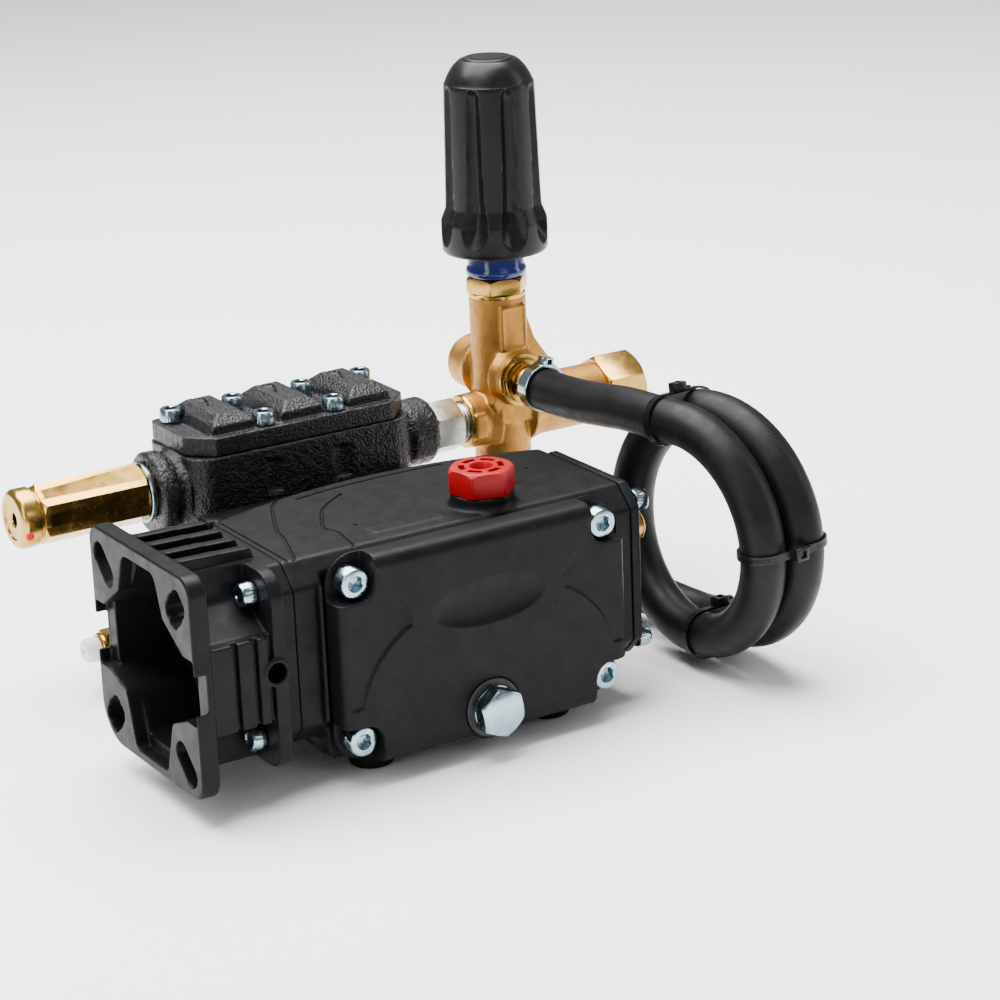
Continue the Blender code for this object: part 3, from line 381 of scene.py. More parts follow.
def block(low, high):
    low, high = at(*low), at(*high)
    bm = bmesh.new()
    bmesh.ops.create_cube(bm, size=1.0)
    size = Matrix.Diagonal((*(high - low), 1.0))
    return from_bmesh(bm, Matrix.Translation((low + high) / 2) @ size)


def prism(outline, axis, low, high):
    """A flat outline given thickness: (Y, Z) for axis X, (X, Z) for axis Y, (X, Y) for axis Z."""
    bm = bmesh.new()
    rim = [bm.verts.new((first * MM, second * MM, low * MM)) for first, second in outline]
    face = bm.faces.new(rim)
    raised = bmesh.ops.extrude_face_region(bm, geom=[face])["geom"]
    lifted = [item for item in raised if isinstance(item, bmesh.types.BMVert)]
    bmesh.ops.translate(bm, verts=lifted, vec=(0, 0, (high - low) * MM))
    turn = OUTLINE_TURN[axis].copy()
    if axis == "Y":
        bmesh.ops.scale(bm, vec=(1, 1, -1), verts=bm.verts)
    return from_bmesh(bm, Matrix.Translation(ORIGIN) @ turn)


def lathe(start, axis, profile, steps=64):
    """A turned shape from (radius, height) points; ends on the axis close it, others make a ring."""
    bm = bmesh.new()
    rings = []
    for radius, height in profile:
        if radius <= 0:
            rings.append([bm.verts.new((0, 0, height * MM))])
            continue
        turns = [2 * math.pi * step / steps for step in range(steps)]
        rings.append([bm.verts.new((radius * MM * math.cos(a), radius * MM * math.sin(a), height * MM))
                      for a in turns])
    pairs = list(zip(rings, rings[1:]))
    if len(rings[0]) > 1:
        pairs.append((rings[-1], rings[0]))
    for first, second in pairs:
        bridge(bm, first, second)
    return from_bmesh(bm, Matrix.Translation(at(*start)) @ AXIS_TURN[axis])


def bridge(bm, first, second):
    """Faces between two rings of points, either of which may be a single point."""
    count = max(len(first), len(second))
    for step in range(count):
        following = (step + 1) % count
        corners = [first[step % len(first)], first[following % len(first)],
                   second[following % len(second)], second[step % len(second)]]
        unique = [corner for index, corner in enumerate(corners) if corner not in corners[:index]]
        if len(unique) > 2:
            bm.faces.new(unique)


def smooth_path(points, spacing):
    """Evenly spaced points on a smooth curve through all the given ones, in metres."""
    knots = [Vector(point) for point in points]
    ends = [2 * knots[0] - knots[1], *knots, 2 * knots[-1] - knots[-2]]
    fine = []
    for before, here, after, beyond in zip(ends, ends[1:], ends[2:], ends[3:]):
        for step in range(12):
            t = step / 12
            fine.append(0.5 * (2 * here + (after - before) * t
                               + (2 * before - 5 * here + 4 * after - beyond) * t * t
                               + (3 * here - before - 3 * after + beyond) * t ** 3))
    fine.append(knots[-1])
    path, travelled = [fine[0]], 0.0
    for first, second in zip(fine, fine[1:]):
        travelled += (second - first).length
        if travelled >= spacing:
            path.append(second)
            travelled = 0.0
    path.append(fine[-1])
    return path


def tube(path, radius, sides=32):
    """A tube along a path in metres, with a UV map that runs along it."""
    bm = bmesh.new()
    uv = bm.loops.layers.uv.new("along")
    side = (path[1] - path[0]).orthogonal().normalized()
    rings, travelled, lengths = [], 0.0, []
    for index, point in enumerate(path):
        ahead = path[min(index + 1, len(path) - 1)] - path[max(index - 1, 0)]
        ahead.normalize()
        side = (side - ahead * side.dot(ahead)).normalized()
        other = ahead.cross(side)
        turns = [2 * math.pi * step / sides for step in range(sides)]
        rings.append([bm.verts.new(point + (side * math.cos(a) + other * math.sin(a)) * radius * MM)
                      for a in turns])
        if index:
            travelled += (point - path[index - 1]).length
        lengths.append(travelled)
    for index, (first, second) in enumerate(zip(rings, rings[1:])):
        for step in range(sides):
            following = (step + 1) % sides
            face = bm.faces.new((first[step], first[following], second[following], second[step]))
            corners = ((step, 0), (step + 1, 0), (step + 1, 1), (step, 1))
            for loop, (across, along) in zip(face.loops, corners):
                loop[uv].uv = (across / sides * 0.06, lengths[index + along])
    bm.faces.new(rings[0])
    bm.faces.new(rings[-1])
    return from_bmesh(bm)


def combine(operation, obj, others):
    for other in others:
        change = obj.modifiers.new(operation.lower(), "BOOLEAN")
        change.operation = operation
        change.object = other
    result = bake(obj)
    for other in others:
        bpy.data.objects.remove(other, do_unlink=True)
    return result


def unite(obj, *others):
    return combine("UNION", obj, others)


def cut(obj, *others):
    return combine("DIFFERENCE", obj, others)


def rounded(obj, width, segments=3, angle=35.0):
    bevel = obj.modifiers.new("round", "BEVEL")
    bevel.width = width * MM
    bevel.segments = segments
    bevel.limit_method = "ANGLE"
    bevel.angle_limit = math.radians(angle)
    return bake(obj)


def casting(obj, detail, soften, lumps=None, keep=0.45):
    """Turns crisp blocks into one casting with soft edges and filled corners.

    detail is the grid's size in mm; lumps is the size and height in mm of a sand-cast skin.
    """
    grid = obj.modifiers.new("grid", "REMESH")
    grid.mode = "VOXEL"
    grid.voxel_size = detail * MM
    melt = obj.modifiers.new("melt", "SMOOTH")
    melt.factor = 0.5
    melt.iterations = soften
    if lumps:
        size, height = lumps
        sand = bpy.data.textures.new("sand", "CLOUDS")
        sand.noise_scale = size * MM
        sand.noise_depth = 2
        skin = obj.modifiers.new("skin", "DISPLACE")
        skin.texture = sand
        skin.texture_coords = "GLOBAL"
        skin.strength = height * MM
        skin.mid_level = 0.5
    thin = obj.modifiers.new("thin", "DECIMATE")
    thin.ratio = keep
    return bake(obj)


def arc(centre, radius, start, end, steps):
    turns = [math.radians(start + (end - start) * step / steps) for step in range(steps + 1)]
    return [(centre[0] + radius * math.cos(a), centre[1] + radius * math.sin(a)) for a in turns]


def round_corners(corners, radii, steps=6):
    outline = []
    for index, (corner, radius) in enumerate(zip(corners, radii)):
        here = Vector(corner)
        before = (Vector(corners[index - 1]) - here).normalized()
        after = (Vector(corners[(index + 1) % len(corners)]) - here).normalized()
        half = math.acos(max(-1.0, min(1.0, before.dot(after)))) / 2
        centre = here + (before + after).normalized() * radius / math.sin(half)
        first = here + before * radius / math.tan(half) - centre
        last = here + after * radius / math.tan(half) - centre
        for step in range(steps + 1):
            spoke = (first * (1 - step / steps) + last * (step / steps)).normalized()
            outline.append(tuple(centre + spoke * radius))
    return outline


def show(name, obj, finish, nodes=(), body=BODY, sharp=38.0):
    """Names a finished piece, gives it its material and hands it to the frame."""
    obj.name = name
    obj.data.name = name
    obj.data.materials.clear()
    obj.data.materials.append(finish)
    obj.data.shade_smooth()
    if sharp:
        obj.data.set_sharp_from_angle(angle=math.radians(sharp))
    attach(obj, body)
    if nodes:
        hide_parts(*nodes)
    return obj


def ring(radius, sides, wave=0.0):
    """Points round a circle, every second one drawn in by wave."""
    turns = [(2 * math.pi * step / sides, radius - wave * (step % 2)) for step in range(sides)]
    return [(reach * math.cos(a), reach * math.sin(a)) for a, reach in turns]


def loft(start, axis, rings):
    """A closed shape through rings, each a height and its list of points."""
    bm = bmesh.new()
    made = [[bm.verts.new((a * MM, b * MM, height * MM)) for a, b in points] for height, points in rings]
    for first, second in zip(made, made[1:]):
        bridge(bm, first, second)
    bm.faces.new(made[0])
    bm.faces.new(made[-1])
    return from_bmesh(bm, Matrix.Translation(at(*start)) @ AXIS_TURN[axis])


def groove(points, radius):
    """A round cutter that follows points of the shaft frame."""
    return tube(smooth_path([at(*point) for point in points], 0.0012), radius, sides=10)


def opposite(axis):
    return axis[1:] if axis.startswith("-") else "-" + axis


# ---------------------------------------------------------------- screws

def cap_screw(node, axis, radius, height, thread, socket):
    """A zinc-plated socket screw with a fine knurl, a rounded rim and a hexagonal hollow."""
    low, high = extent(node)
    way = AXIS_TURN[axis].to_3x3() @ Vector((0, 0, 1))
    index = max(range(3), key=lambda number: abs(way[number]))
    top = (low + high) / 2
    top[index] = (high if way[index] > 0 else low)[index]
    seat = top - way * height
    length = (high - low)[index] - height
    sides = 72
    head = loft(seat, axis, [
        (0.0, ring(radius - 0.3, sides)),
        (0.3, ring(radius, sides, 0.13)),
        (height - 1.1, ring(radius, sides, 0.13)),
        (height - 1.0, ring(radius - 0.12, sides)),
        (height - 0.6, ring(radius - 0.2, sides)),
        (height - 0.2, ring(radius - 0.5, sides)),
        (height, ring(radius - 1.0, sides)),
    ])
    shank = bar(seat + way * 0.5, opposite(axis), thread, length, sides=24)
    hollow = bar(top - way * height * 0.55, axis, socket / math.sqrt(3), height, sides=6)
    point = bar(top - way * height * 0.55, opposite(axis), socket * 0.5, 1.0, sides=24, tip=0.2)
    lead = bar(top - way * 0.5, axis, socket * 0.5, 1.0, sides=32, tip=socket * 0.5 + 1.0)
    screw = cut(unite(head, shank), hollow, point, lead)
    return show(f"{node}_shape", screw, zinc_plate(), [node], sharp=30.0)


def screws():
    for index in (1, 2, 3, 4):
        cap_screw(f"cover_screw_{index}", "-Y", 6.4, 8.0, 4.0, 6.0)
        cap_screw(f"end_cover_screw_{index}", "X", 5.0, 6.0, 3.0, 5.0)
        cap_screw(f"flange_screw_{index}", "-X", 5.0, 6.0, 3.0, 5.0)
    for index in range(1, 7):
        cap_screw(f"valve_cover_screw_{index}", "Z", 5.0, 6.0, 3.0, 5.0)


# ---------------------------------------------------------------- crankcase group

END_CORNER = 9.5


def end_outline():
    """The eight-sided section of the crankcase's ends, from the end cover's own box."""
    front, back, bottom, top = END[0].y, END[1].y, END[0].z, END[1].z
    corners = [
        (front, bottom + END_CORNER), (front + END_CORNER, bottom), (back - END_CORNER, bottom),
        (back, bottom + END_CORNER), (back, top - END_CORNER), (back - END_CORNER, top),
        (front + END_CORNER, top), (front, top - END_CORNER),
    ]
    return round_corners(corners, [2.5] * 8)


def crankcase():
    low, high = extent("crankcase")
    middle_x = CYLINDERS[1]
    right = high.x
    back_bulge = arc((middle_x + 0.5, -165.0), 214.5, 112.3, 67.7, 36)
    plan = [(right + 0.1, -60.0), (low.x - 0.1, -60.0), *back_bulge]
    section = round_corners(
        [(-36.0, -29.0), (-26.5, -38.5), (60.0, -38.5), (60.0, 39.0), (-26.5, 39.0), (-36.0, 29.5)],
        [2.0, 2.0, 0.5, 0.5, 2.5, 2.5])
    body = prism(section, "X", low.x - 0.1, right + 0.1)
    body = combine("INTERSECT", body, [prism(plan, "Z", -60.0, 60.0)])
    filler = middle("oil_filler_cap")
    feet = [
        lathe((middle_x + side * 43.0, y, low.z), "Z", [(0, 0), (8.9, 0), (9.6, 0.6), (9.8, 15.0), (0, 15.0)])
        for side in (-1, 1) for y in (-22.3, 26.0)
    ]
    neck = lathe((filler.x, filler.y, 30.0), "Z", [
        (0, 0), (15.6, 8.6), (14.4, 9.4), (13.6, 10.6), (13.4, 14.2), (0, 14.2)])
    body = unite(
        body,
        rounded(block((COVER[0].x, -36.0, -47.5), (COVER[1].x, 40.0, -20.0)), 3.0),
        rounded(block((77.0, 30.0, -21.5), (185.0, 93.0, 19.5)), 3.0),
        rounded(block((73.5, 88.0, -34.0), (188.5, 99.2, 19.8)), 2.0),
        rounded(block((97.0, -19.4, 36.0), (130.5, -10.4, END[1].z + 0.45)), 0.4, 2),
        neck, *feet,
    )
    cutters = [
        block((COVER[0].x - 0.3, -60.0, -60.0), (COVER[1].x + 0.3, -32.0, 60.0)),
        block((69.0, -31.0, -43.0), (196.0, 34.0, 33.5)),
        block((84.0, -40.0, -43.0), (179.0, 0.0, 33.5)),
        bar((40.0, 0, 0), "X", 31.3, 26.8, sides=96),
        bar((60.0, 0, 0), "X", 26.0, 20.0, sides=96),
        bar((198.6, 0, 0), "X", 23.8, 20.0, sides=96),
        bar((190.0, 0, 0), "X", 19.0, 20.0, sides=96),
        bar((filler.x, filler.y, 25.0), "Z", 10.3, 30.0, sides=64),
        bar((200.0, -25.0, 18.0), "X", 5.9, 20.0),
    ]
    cutters += [bar((x, 25.0, 0), "Y", 15.3, 90.0, sides=80) for x in CYLINDERS]
    cutters.append(groove([(61.4, -36.4, z) for z in (30.0, 10.0, -10.0, -30.0)], 1.6))
    cutters += [bar((spot.x, -40.0, spot.z), "Y", 4.5, 24.0) for spot in COVER_SCREWS]
    shape = casting(cut(body, *cutters), 0.8, 4, keep=0.3)

    # Raised fields on the top are parted by fine grooves, cut after the casting to keep them crisp.
    top = END[1].z + 0.15
    first = [
        (91.3, 47.2), (81.8, 39.6), (75.7, 28.9), (67.0, 8.9), (64.7, -0.8), (59.2, -17.3), (55.4, -28.4)]
    second = [
        (110.9, 34.0), (96.6, 22.6), (89.2, 11.4), (83.6, -0.9), (85.4, -8.3), (83.5, -20.5), (82.4, -31.0)]
    lines = [[(x, y, top) for x, y in line] for line in (first, second)]
    lines.append([(52.4, y, top) for y in (40.0, 20.0, 0.0, -20.0, -27.0)])
    lines.append([(92.0, 39.0, top), (112.0, 42.0, top), (140.0, 43.2, top), (165.0, 42.0, top)])
    lines.append([(201.9, -36.1, z) for z in (28.0, 10.0, -10.0, -28.0)])
    grooves = [groove(line, 0.9) for line in lines]
    grooves += [bar((x, spot.y, spot.z), "X", 3.15, 16.0) for x in (45.0, 199.0) for spot in SIDE_SCREWS]
    pinholes = ((190.7, 14.0), (96.0, -5.0))
    grooves += [bar((x, y, END[1].z - 0.6), "Z", 0.8, 4.0, sides=16) for x, y in pinholes]
    show("crankcase_shape", cut(shape, *grooves), powder_coat(), ["crankcase"], sharp=50.0)


def crankcase_cover():
    low, high = COVER
    front = low.y
    corners = [(low.x, low.z + 0.8), (high.x, low.z + 0.8), (high.x, high.z), (low.x, high.z)]
    body = prism(round_corners(corners, [13.0] * 4, steps=10), "Y", front, high.y)
    body = rounded(body, 5.5, segments=6, angle=60.0)
    plug = middle("drain_plug_seal")
    boss = lathe((plug.x, -36.0, plug.z), "-Y", [(0, 0), (15.6, 0), (14.0, 11.4), (12.9, 12.0), (0, 12.0)])
    body = unite(body, boss)
    cutters = [
        rounded(block((82.0, -44.5, -42.0), (181.0, -20.0, 33.0)), 3.0),
        bar((plug.x, -30.0, plug.z), "-Y", 8.4, 30.0),
        bar((plug.x, -47.8, plug.z), "-Y", 12.9, 10.0, sides=64),
    ]
    middle_x, middle_z = (low.x + high.x) / 2, COVER_SCREWS[0].z / 2 + COVER_SCREWS[1].z / 2
    for spot in COVER_SCREWS:
        side, rise = math.copysign(12.0, spot.x - middle_x), math.copysign(12.0, spot.z - middle_z)
        corner = [
            (spot.x - side * 0.61, spot.z - rise * 0.61), (spot.x + side * 1.6, spot.z - rise * 0.61),
            (spot.x + side * 1.6, spot.z + rise * 1.6), (spot.x - side * 0.61, spot.z + rise * 1.6),
        ]
        cutters.append(prism(round_corners(corner, [7.2, 0.01, 0.01, 0.01], steps=10), "Y", -60.0, -37.0))
        cutters.append(bar((spot.x, -30.0, spot.z), "-Y", 4.4, 12.0))
    centre = (low.x + high.x) / 2
    for side in (-1, 1):
        upper = [(centre + side * (x - 131.5), z) for x, z in arc((126.0, 58.0), 60.0, -22.5, -46.0, 14)]
        lower = [(centre + side * (x - 131.5), z) for x, z in arc((150.0, -30.0), 42.4, 65.0, 11.0, 14)]
        edge = [(high.x + 5.0 if side > 0 else low.x - 5.0, lower[-1][1]),
                (high.x + 5.0 if side > 0 else low.x - 5.0, upper[0][1])]
        cutters.append(prism(upper + lower + edge, "Y", -60.0, front + 0.9))
    bm = bmesh.new()
    bmesh.ops.create_uvsphere(bm, u_segments=64, v_segments=32, radius=1.0)
    scoop = from_bmesh(bm, Matrix.Translation(at(131.7, front - 1.2, 10.8)) @ Matrix.Diagonal(
        (29.0 * MM, 3.2 * MM, 10.6 * MM, 1.0)))
    cutters.append(scoop)
    shape = casting(cut(body, *cutters), 0.5, 5, keep=0.35)
    show("crankcase_cover_shape", shape, powder_coat(), ["crankcase_cover"], sharp=50.0)


def end_cover():
    plate = prism(end_outline(), "X", END[0].x + 2.1, END[1].x)
    plate = rounded(plate, 0.7, segments=3, angle=30.0)
    spigot = bar((END[0].x, 0, 0), "X", 23.4, 4.0, sides=96)
    dome = lathe((END[1].x - 1.5, 0, 0), "X", [(0, 1.0), (20.0, 1.0), (22.5, 0.0), (0, 0.0)])
    holes = [bar((200.0, 0, 0), "X", 18.0, 12.5, sides=96), bar((200.0, -25.0, 18.0), "X", 5.7, 20.0)]
    holes += [bar((205.0, spot.y, spot.z), "X", 3.3, 20.0) for spot in SIDE_SCREWS]
    rim = lathe((END[1].x - 0.5, 0, 0), "X", [(21.5, 1.0), (24.0, 1.0), (24.0, 0.0), (21.5, 0.0)])
    shape = cut(unite(plate, spigot, dome), rim, *holes)
    show("end_cover_shape", rounded(shape, 0.25, 2, 50.0), powder_coat(), ["end_cover"])


def small_case_parts():
    plug = middle("drain_plug")
    low, high = extent("drain_plug")
    head = bar((plug.x, low.y + 7.6, plug.z), "-Y", 19.0 / math.sqrt(3), 7.6, sides=6, turn=8.0)
    cone = lathe((plug.x, low.y + 7.6, plug.z), "-Y", [
        (0, -1.0), (14.0, -1.0), (14.0, 4.6), (9.2, 7.6), (0, 7.6)])
    head = combine("INTERSECT", head, [cone])
    washer = lathe((plug.x, low.y + 7.6, plug.z), "-Y", [(0, -0.05), (9.9, -0.05), (9.9, 0.7), (0, 0.7)])
    stem = bar((plug.x, low.y + 7.0, plug.z), "Y", 7.9, high.y - low.y - 7.0)
    plug_shape = rounded(unite(head, washer, stem), 0.2, 2, 40.0)
    show("drain_plug_shape", plug_shape, zinc_plate(), ["drain_plug"])

    low, high = extent("drain_plug_seal")
    seal = lathe((plug.x, high.y, plug.z), "-Y",
                 [(12.4, 0), (12.6, 0.3), (12.6, 1.0), (12.2, 1.4), (8.5, 1.4), (8.3, 1.1), (8.3, 0)])
    show("drain_plug_seal_shape", seal, seal_rubber(), ["drain_plug_seal"])

    glass = middle("sight_glass")
    rim = lathe((END[1].x, glass.y, glass.z), "X", [
        (0, 3.6), (4.2, 3.6), (4.6, 5.8), (5.2, 6.0), (6.0, 6.0), (6.9, 5.2), (7.0, 4.6), (7.0, 0.3),
        (5.4, 0.3), (5.4, -9.0), (0, -9.0)])
    show("sight_glass_shape", rounded(rim, 0.2, 2, 30.0), machined_brass(), ["sight_glass"])


def oil_filler_cap():
    low, high = extent("oil_filler_cap")
    x, y = (low.x + high.x) / 2, (low.y + high.y) / 2
    base, top = high.z - 10.5, high.z
    cap = bar((x, y, base), "Z", 25.0 / math.sqrt(3), 10.5, sides=6, turn=12.0)
    cone = lathe((x, y, base), "Z", [
        (0, -0.5), (13.9, -0.5), (14.0, 9.0), (13.0, 10.2), (12.0, 10.5), (0, 10.5)])
    cap = rounded(combine("INTERSECT", cap, [cone]), 1.3, 4, 20.0)
    cap = unite(cap, bar((x, y, base + 0.5), "-Z", 9.9, base + 0.5 - low.z, sides=48))
    cutters = [lathe((x, y, top - 5.0), "Z", [(0, 0), (4.3, 0), (4.8, 4.5), (5.6, 6.0), (0, 6.0)])]
    for step in range(6):
        start = 60.0 * step + 18.0
        outline = arc((x, y), 9.6, start, start + 42.0, 8) + arc((x, y), 7.0, start + 42.0, start, 8)
        cutters.append(prism(outline, "Z", top - 3.2, top + 5.0))
    cap = rounded(cut(cap, *cutters), 0.3, 2, 45.0)
    show("oil_filler_cap_shape", cap, cap_plastic(), ["oil_filler_cap"], body="oil_filler_cap")


# ---------------------------------------------------------------- engine flange

PLATE_BACK, PAD_FRONT, RECESS_DEPTH = 8.0, 35.3, 5.3
SIDE_HOLE = (36.2, 1.2)
FLANGE_HOLE = 65.1 / 2


def mounting_slot(y, z, length, radius, lean=0.0):
    """A slot through the plate that points at the shaft, or leans from that line by some degrees."""
    outward = Matrix.Rotation(math.radians(lean), 2) @ Vector((y, z)).normalized()
    side = Vector((-outward.y, outward.x))
    near = Vector((y, z)) - outward * (length / 2 - radius)
    far = Vector((y, z)) + outward * (length / 2 - radius)
    angle = math.degrees(math.atan2(side.y, side.x))
    outline = arc(near, radius, angle, angle + 180, 16) + arc(far, radius, angle - 180, angle, 16)
    return prism(outline, "X", -5.0, PLATE_BACK + 20.0)


def bell_outline(reach):
    """The cross-shaped hollow between the four corner bosses, as tall as reach each way."""
    return round_corners(
        [(14.0, reach), (-14.5, reach), (-20.0, 25.0), (-37.0, 14.0), (-37.0, -12.5), (-22.0, -18.5),
         (-14.5, -reach), (14.0, -reach), (20.0, -18.5), (37.0, -12.5), (37.0, 14.0), (20.0, 25.0)],
        [4.0, 4.0, 5.0, 3.0, 3.0, 5.0, 3.0, 3.0, 5.0, 3.0, 3.0, 5.0])


def screw_pocket(y, z):
    """The open corner behind the plate, where one flange screw sits."""
    inner, outer = (28.4, 17.2) if z > 0 else (27.0, 19.5)
    corners = [(22.5, 60.0), (22.5, inner), (39.0, outer), (60.0, outer - 1.0), (60.0, 60.0)]
    outline = round_corners(corners, [0.5, 6.0, 3.0, 0.5, 0.5], steps=10)
    mirrored = [(math.copysign(across, y), math.copysign(up, z)) for across, up in outline]
    return prism(mirrored, "X", PLATE_BACK, PAD_FRONT)


def engine_flange():
    """The engine's mounting plate, the finned and ribbed neck behind it and the pad on the crankcase."""
    low, high = FLANGE
    corners = [(low.y + 0.5, low.z), (high.y, low.z), (high.y, high.z), (low.y + 0.5, high.z)]
    plate = prism(round_corners(corners, [10.0, 17.0, 8.0, 8.0], steps=10), "X", 0.0, PLATE_BACK)
    plate = rounded(plate, 0.9, 4, 60.0)
    front, back, floor, roof = low.y + 2.0, high.y - 1.5, low.z + 4.6, 41.0
    section = round_corners(
        [(front, floor), (back, floor), (back, roof), (front, roof)], [10.0, 10.0, 11.0, 11.0], steps=8)
    neck = prism(section, "X", PLATE_BACK - 2.0, PAD_FRONT + 6.0)
    ribs = [block((x, low.y - 10.0, -60.0), (x + 2.4, low.y + 4.8, 60.0)) for x in (17.6, 26.2, 32.8)]
    pad = prism(end_outline(), "X", PAD_FRONT, high.x)
    boss = bar((SIDE_HOLE[0], low.y + 1.4, SIDE_HOLE[1]), "Y", 5.8, 12.0, sides=64)
    fin = [(6.0, 36.0), (41.5, 36.0), (41.5, 41.6), (40.4, 45.0), (39.6, 45.6), (6.0, 46.6)]
    fins = [prism(fin, "Y", y, y + 5.0) for y in (-20.0, -7.5, 5.0, 17.5)]
    body = unite(cut(neck, *ribs), plate, pad, boss, *fins)

    half = FLANGE_HOLE
    cutters = [
        prism(bell_outline(41.6), "X", -5.0, PLATE_BACK - 2.0),
        prism(bell_outline(37.0), "X", 0.0, 31.0),
        bar((20.0, 0, 0), "X", 17.5, 40.0, sides=80),
        bar((37.5, 0, 0), "X", 26.0, 20.0, sides=96),
        block((-5.0, low.y + 1.9, -13.0), (RECESS_DEPTH, -30.0, 14.5)),
        block((-5.0, 30.0, -13.2), (RECESS_DEPTH, high.y - 1.7, 14.2)),
        block((-5.0, -60.0, -8.0), (RECESS_DEPTH - 0.2, 60.0, 8.2)),
        bar((SIDE_HOLE[0], low.y - 4.0, SIDE_HOLE[1]), "Y", 4.2, 16.5, sides=48),
        mounting_slot(half, half, 20.0, 5.2),
        mounting_slot(-half, -half, 20.0, 5.2),
    ]
    for y, z in ((-half, half), (half, -half)):
        cutters.append(bar((-5.0, y, z), "X", 6.6, 33.0, sides=64))
        cutters += [mounting_slot(y, z, 17.6, 4.2, lean) for lean in (-24.0, 24.0)]
    for spot in SIDE_SCREWS:
        cutters.append(screw_pocket(spot.y, spot.z))
        cutters.append(bar((30.0, spot.y, spot.z), "X", 3.4, 30.0))
    shape = casting(cut(body, *cutters), 0.5, 4, keep=0.3)
    show("engine_flange_shape", shape, powder_coat(), ["engine_flange"], sharp=50.0)

    low, high = extent("shaft_oil_seal")
    seal = lathe((low.x, 0, 0), "X", [
        (25.7, 8.0), (25.7, 0.3), (25.4, 0.0), (22.6, 0.0), (22.0, 0.7), (18.0, 0.9), (17.2, 0.3),
        (15.8, 0.0), (15.5, 0.4), (15.5, 2.6), (15.9, 3.0), (22.0, 3.0), (22.0, 8.0)], steps=96)
    show("shaft_oil_seal_shape", seal, seal_rubber(), ["shaft_oil_seal"])


def crankshaft():
    """The hollow shaft with its keyway; the three throws keep the CAD's places."""
    low = extent("crankshaft")[0]
    shaft = lathe((low.x, 0, 0), "X", [
        (0, 0), (14.4, 0), (15.0, 0.6), (15.0, 148.0), (14.0, 148.0), (14.0, 168.0), (10.0, 168.0),
        (10.0, 180.4), (9.4, 181.0), (0, 181.0)])
    throws = []
    for index in (1, 2, 3):
        pin = (Vector(JOINTS[f"crank_pin_{index}"]["pos_m"]) - ORIGIN) / MM
        throws.append(bar((pin.x - 8.0, pin.y, pin.z), "X", 19.0, 16.0, sides=80))
    key = rounded(block((20.0, -2.4, 0.0), (85.0, 2.4, 11.83)), 0.3, 2)
    bore = lathe((low.x - 1.0, 0, 0), "X", [(0, 0), (11.0, 0), (9.53, 1.8), (9.53, 63.0), (0, 66.0)])
    shape = rounded(cut(unite(shaft, *throws), bore, key), 0.2, 2, 50.0)
    show("crankshaft_shape", shape, ground_steel(), ["crankshaft"], body="crankshaft")


# ---------------------------------------------------------------- manifold head

def lid_columns(radius, near_x=None):
    """Upright cutters on the valve cover's screws, or only on those beside one hump."""
    return [bar((spot.x, spot.y, 24.0), "Z", radius, 50.0, sides=40) for spot in LID_SCREWS
            if near_x is None or abs(spot.x - near_x) < 18.0]


def manifold_head():
    low_y = 99.5
    axis_y, axis_z = GALLERY.y, GALLERY.z
    inlet = middle("thermal_relief")
    left, right, bottom, top = 75.0, 187.0, -53.5, 43.0
    corners = [(left, low_y), (right, low_y), (right, HEAD[1].y), (left, HEAD[1].y)]
    body = prism(round_corners(corners, [11.0, 11.0, 5.0, 5.0], steps=8), "Z", bottom, top)
    pads = [rounded(block((x - 16.0, 124.0, HEAD[0].z), (x + 16.0, 144.0, bottom + 5.0)), 1.5)
            for x in (CYLINDERS[0], CYLINDERS[2])]
    bosses = [
        lathe((61.5, axis_y, axis_z - 1.5), "X", [
            (0, 0), (16.8, 0), (18.5, 1.6), (18.4, 6.0), (17.0, 9.0), (16.8, 11.0), (18.4, 14.0), (0, 14.0)]),
        lathe((180.0, axis_y, axis_z + 0.5), "X", [
            (0, 0), (14.0, 0), (13.7, 8.0), (15.6, 11.0), (15.6, 21.5), (13.5, 24.0), (0, 24.0)]),
        bar((64.0, inlet.y, inlet.z), "X", 14.5, 20.0, sides=64),
        bar((180.0, inlet.y, inlet.z), "X", 15.0, 17.0, sides=64),
    ]
    body = unite(body, *pads, *bosses)
    cutters = [
        bar((55.0, axis_y, axis_z), "X", 6.5, 160.0, sides=40),
        bar((55.0, axis_y, axis_z), "X", 9.8, 18.0, sides=56),
        bar((190.0, axis_y, axis_z), "X", 9.8, 20.0, sides=56),
        bar((55.0, inlet.y, inlet.z), "X", 8.0, 160.0, sides=48),
    ]
    for x in CYLINDERS:
        cutters += [
            bar((x, axis_y, 10.0), "Z", 12.0, 40.0, sides=64),
            bar((x, axis_y, inlet.z), "Z", 6.0, 60.0, sides=32),
            bar((x, 90.0, 0), "Y", 8.5, 34.0, sides=48),
            bar((x, 90.0, 0), "Y", 13.2, 18.0, sides=64),
        ]
    cutters += lid_columns(3.4)
    # Shallow hollows between the cylinders, where the casting draws in on both long sides.
    for x in ((CYLINDERS[0] + CYLINDERS[1]) / 2, (CYLINDERS[1] + CYLINDERS[2]) / 2):
        cutters.append(bar((x, HEAD[1].y + 7.2, bottom + 9.0), "Z", 9.0, 78.0, sides=40))
        cutters.append(bar((x, low_y - 7.6, 22.0), "Z", 9.0, 15.0, sides=40))
    shape = casting(cut(body, *cutters), 0.62, 4, lumps=(1.9, 0.8), keep=0.34)
    show("manifold_head_shape", shape, painted_iron(), ["manifold_head"], sharp=60.0)


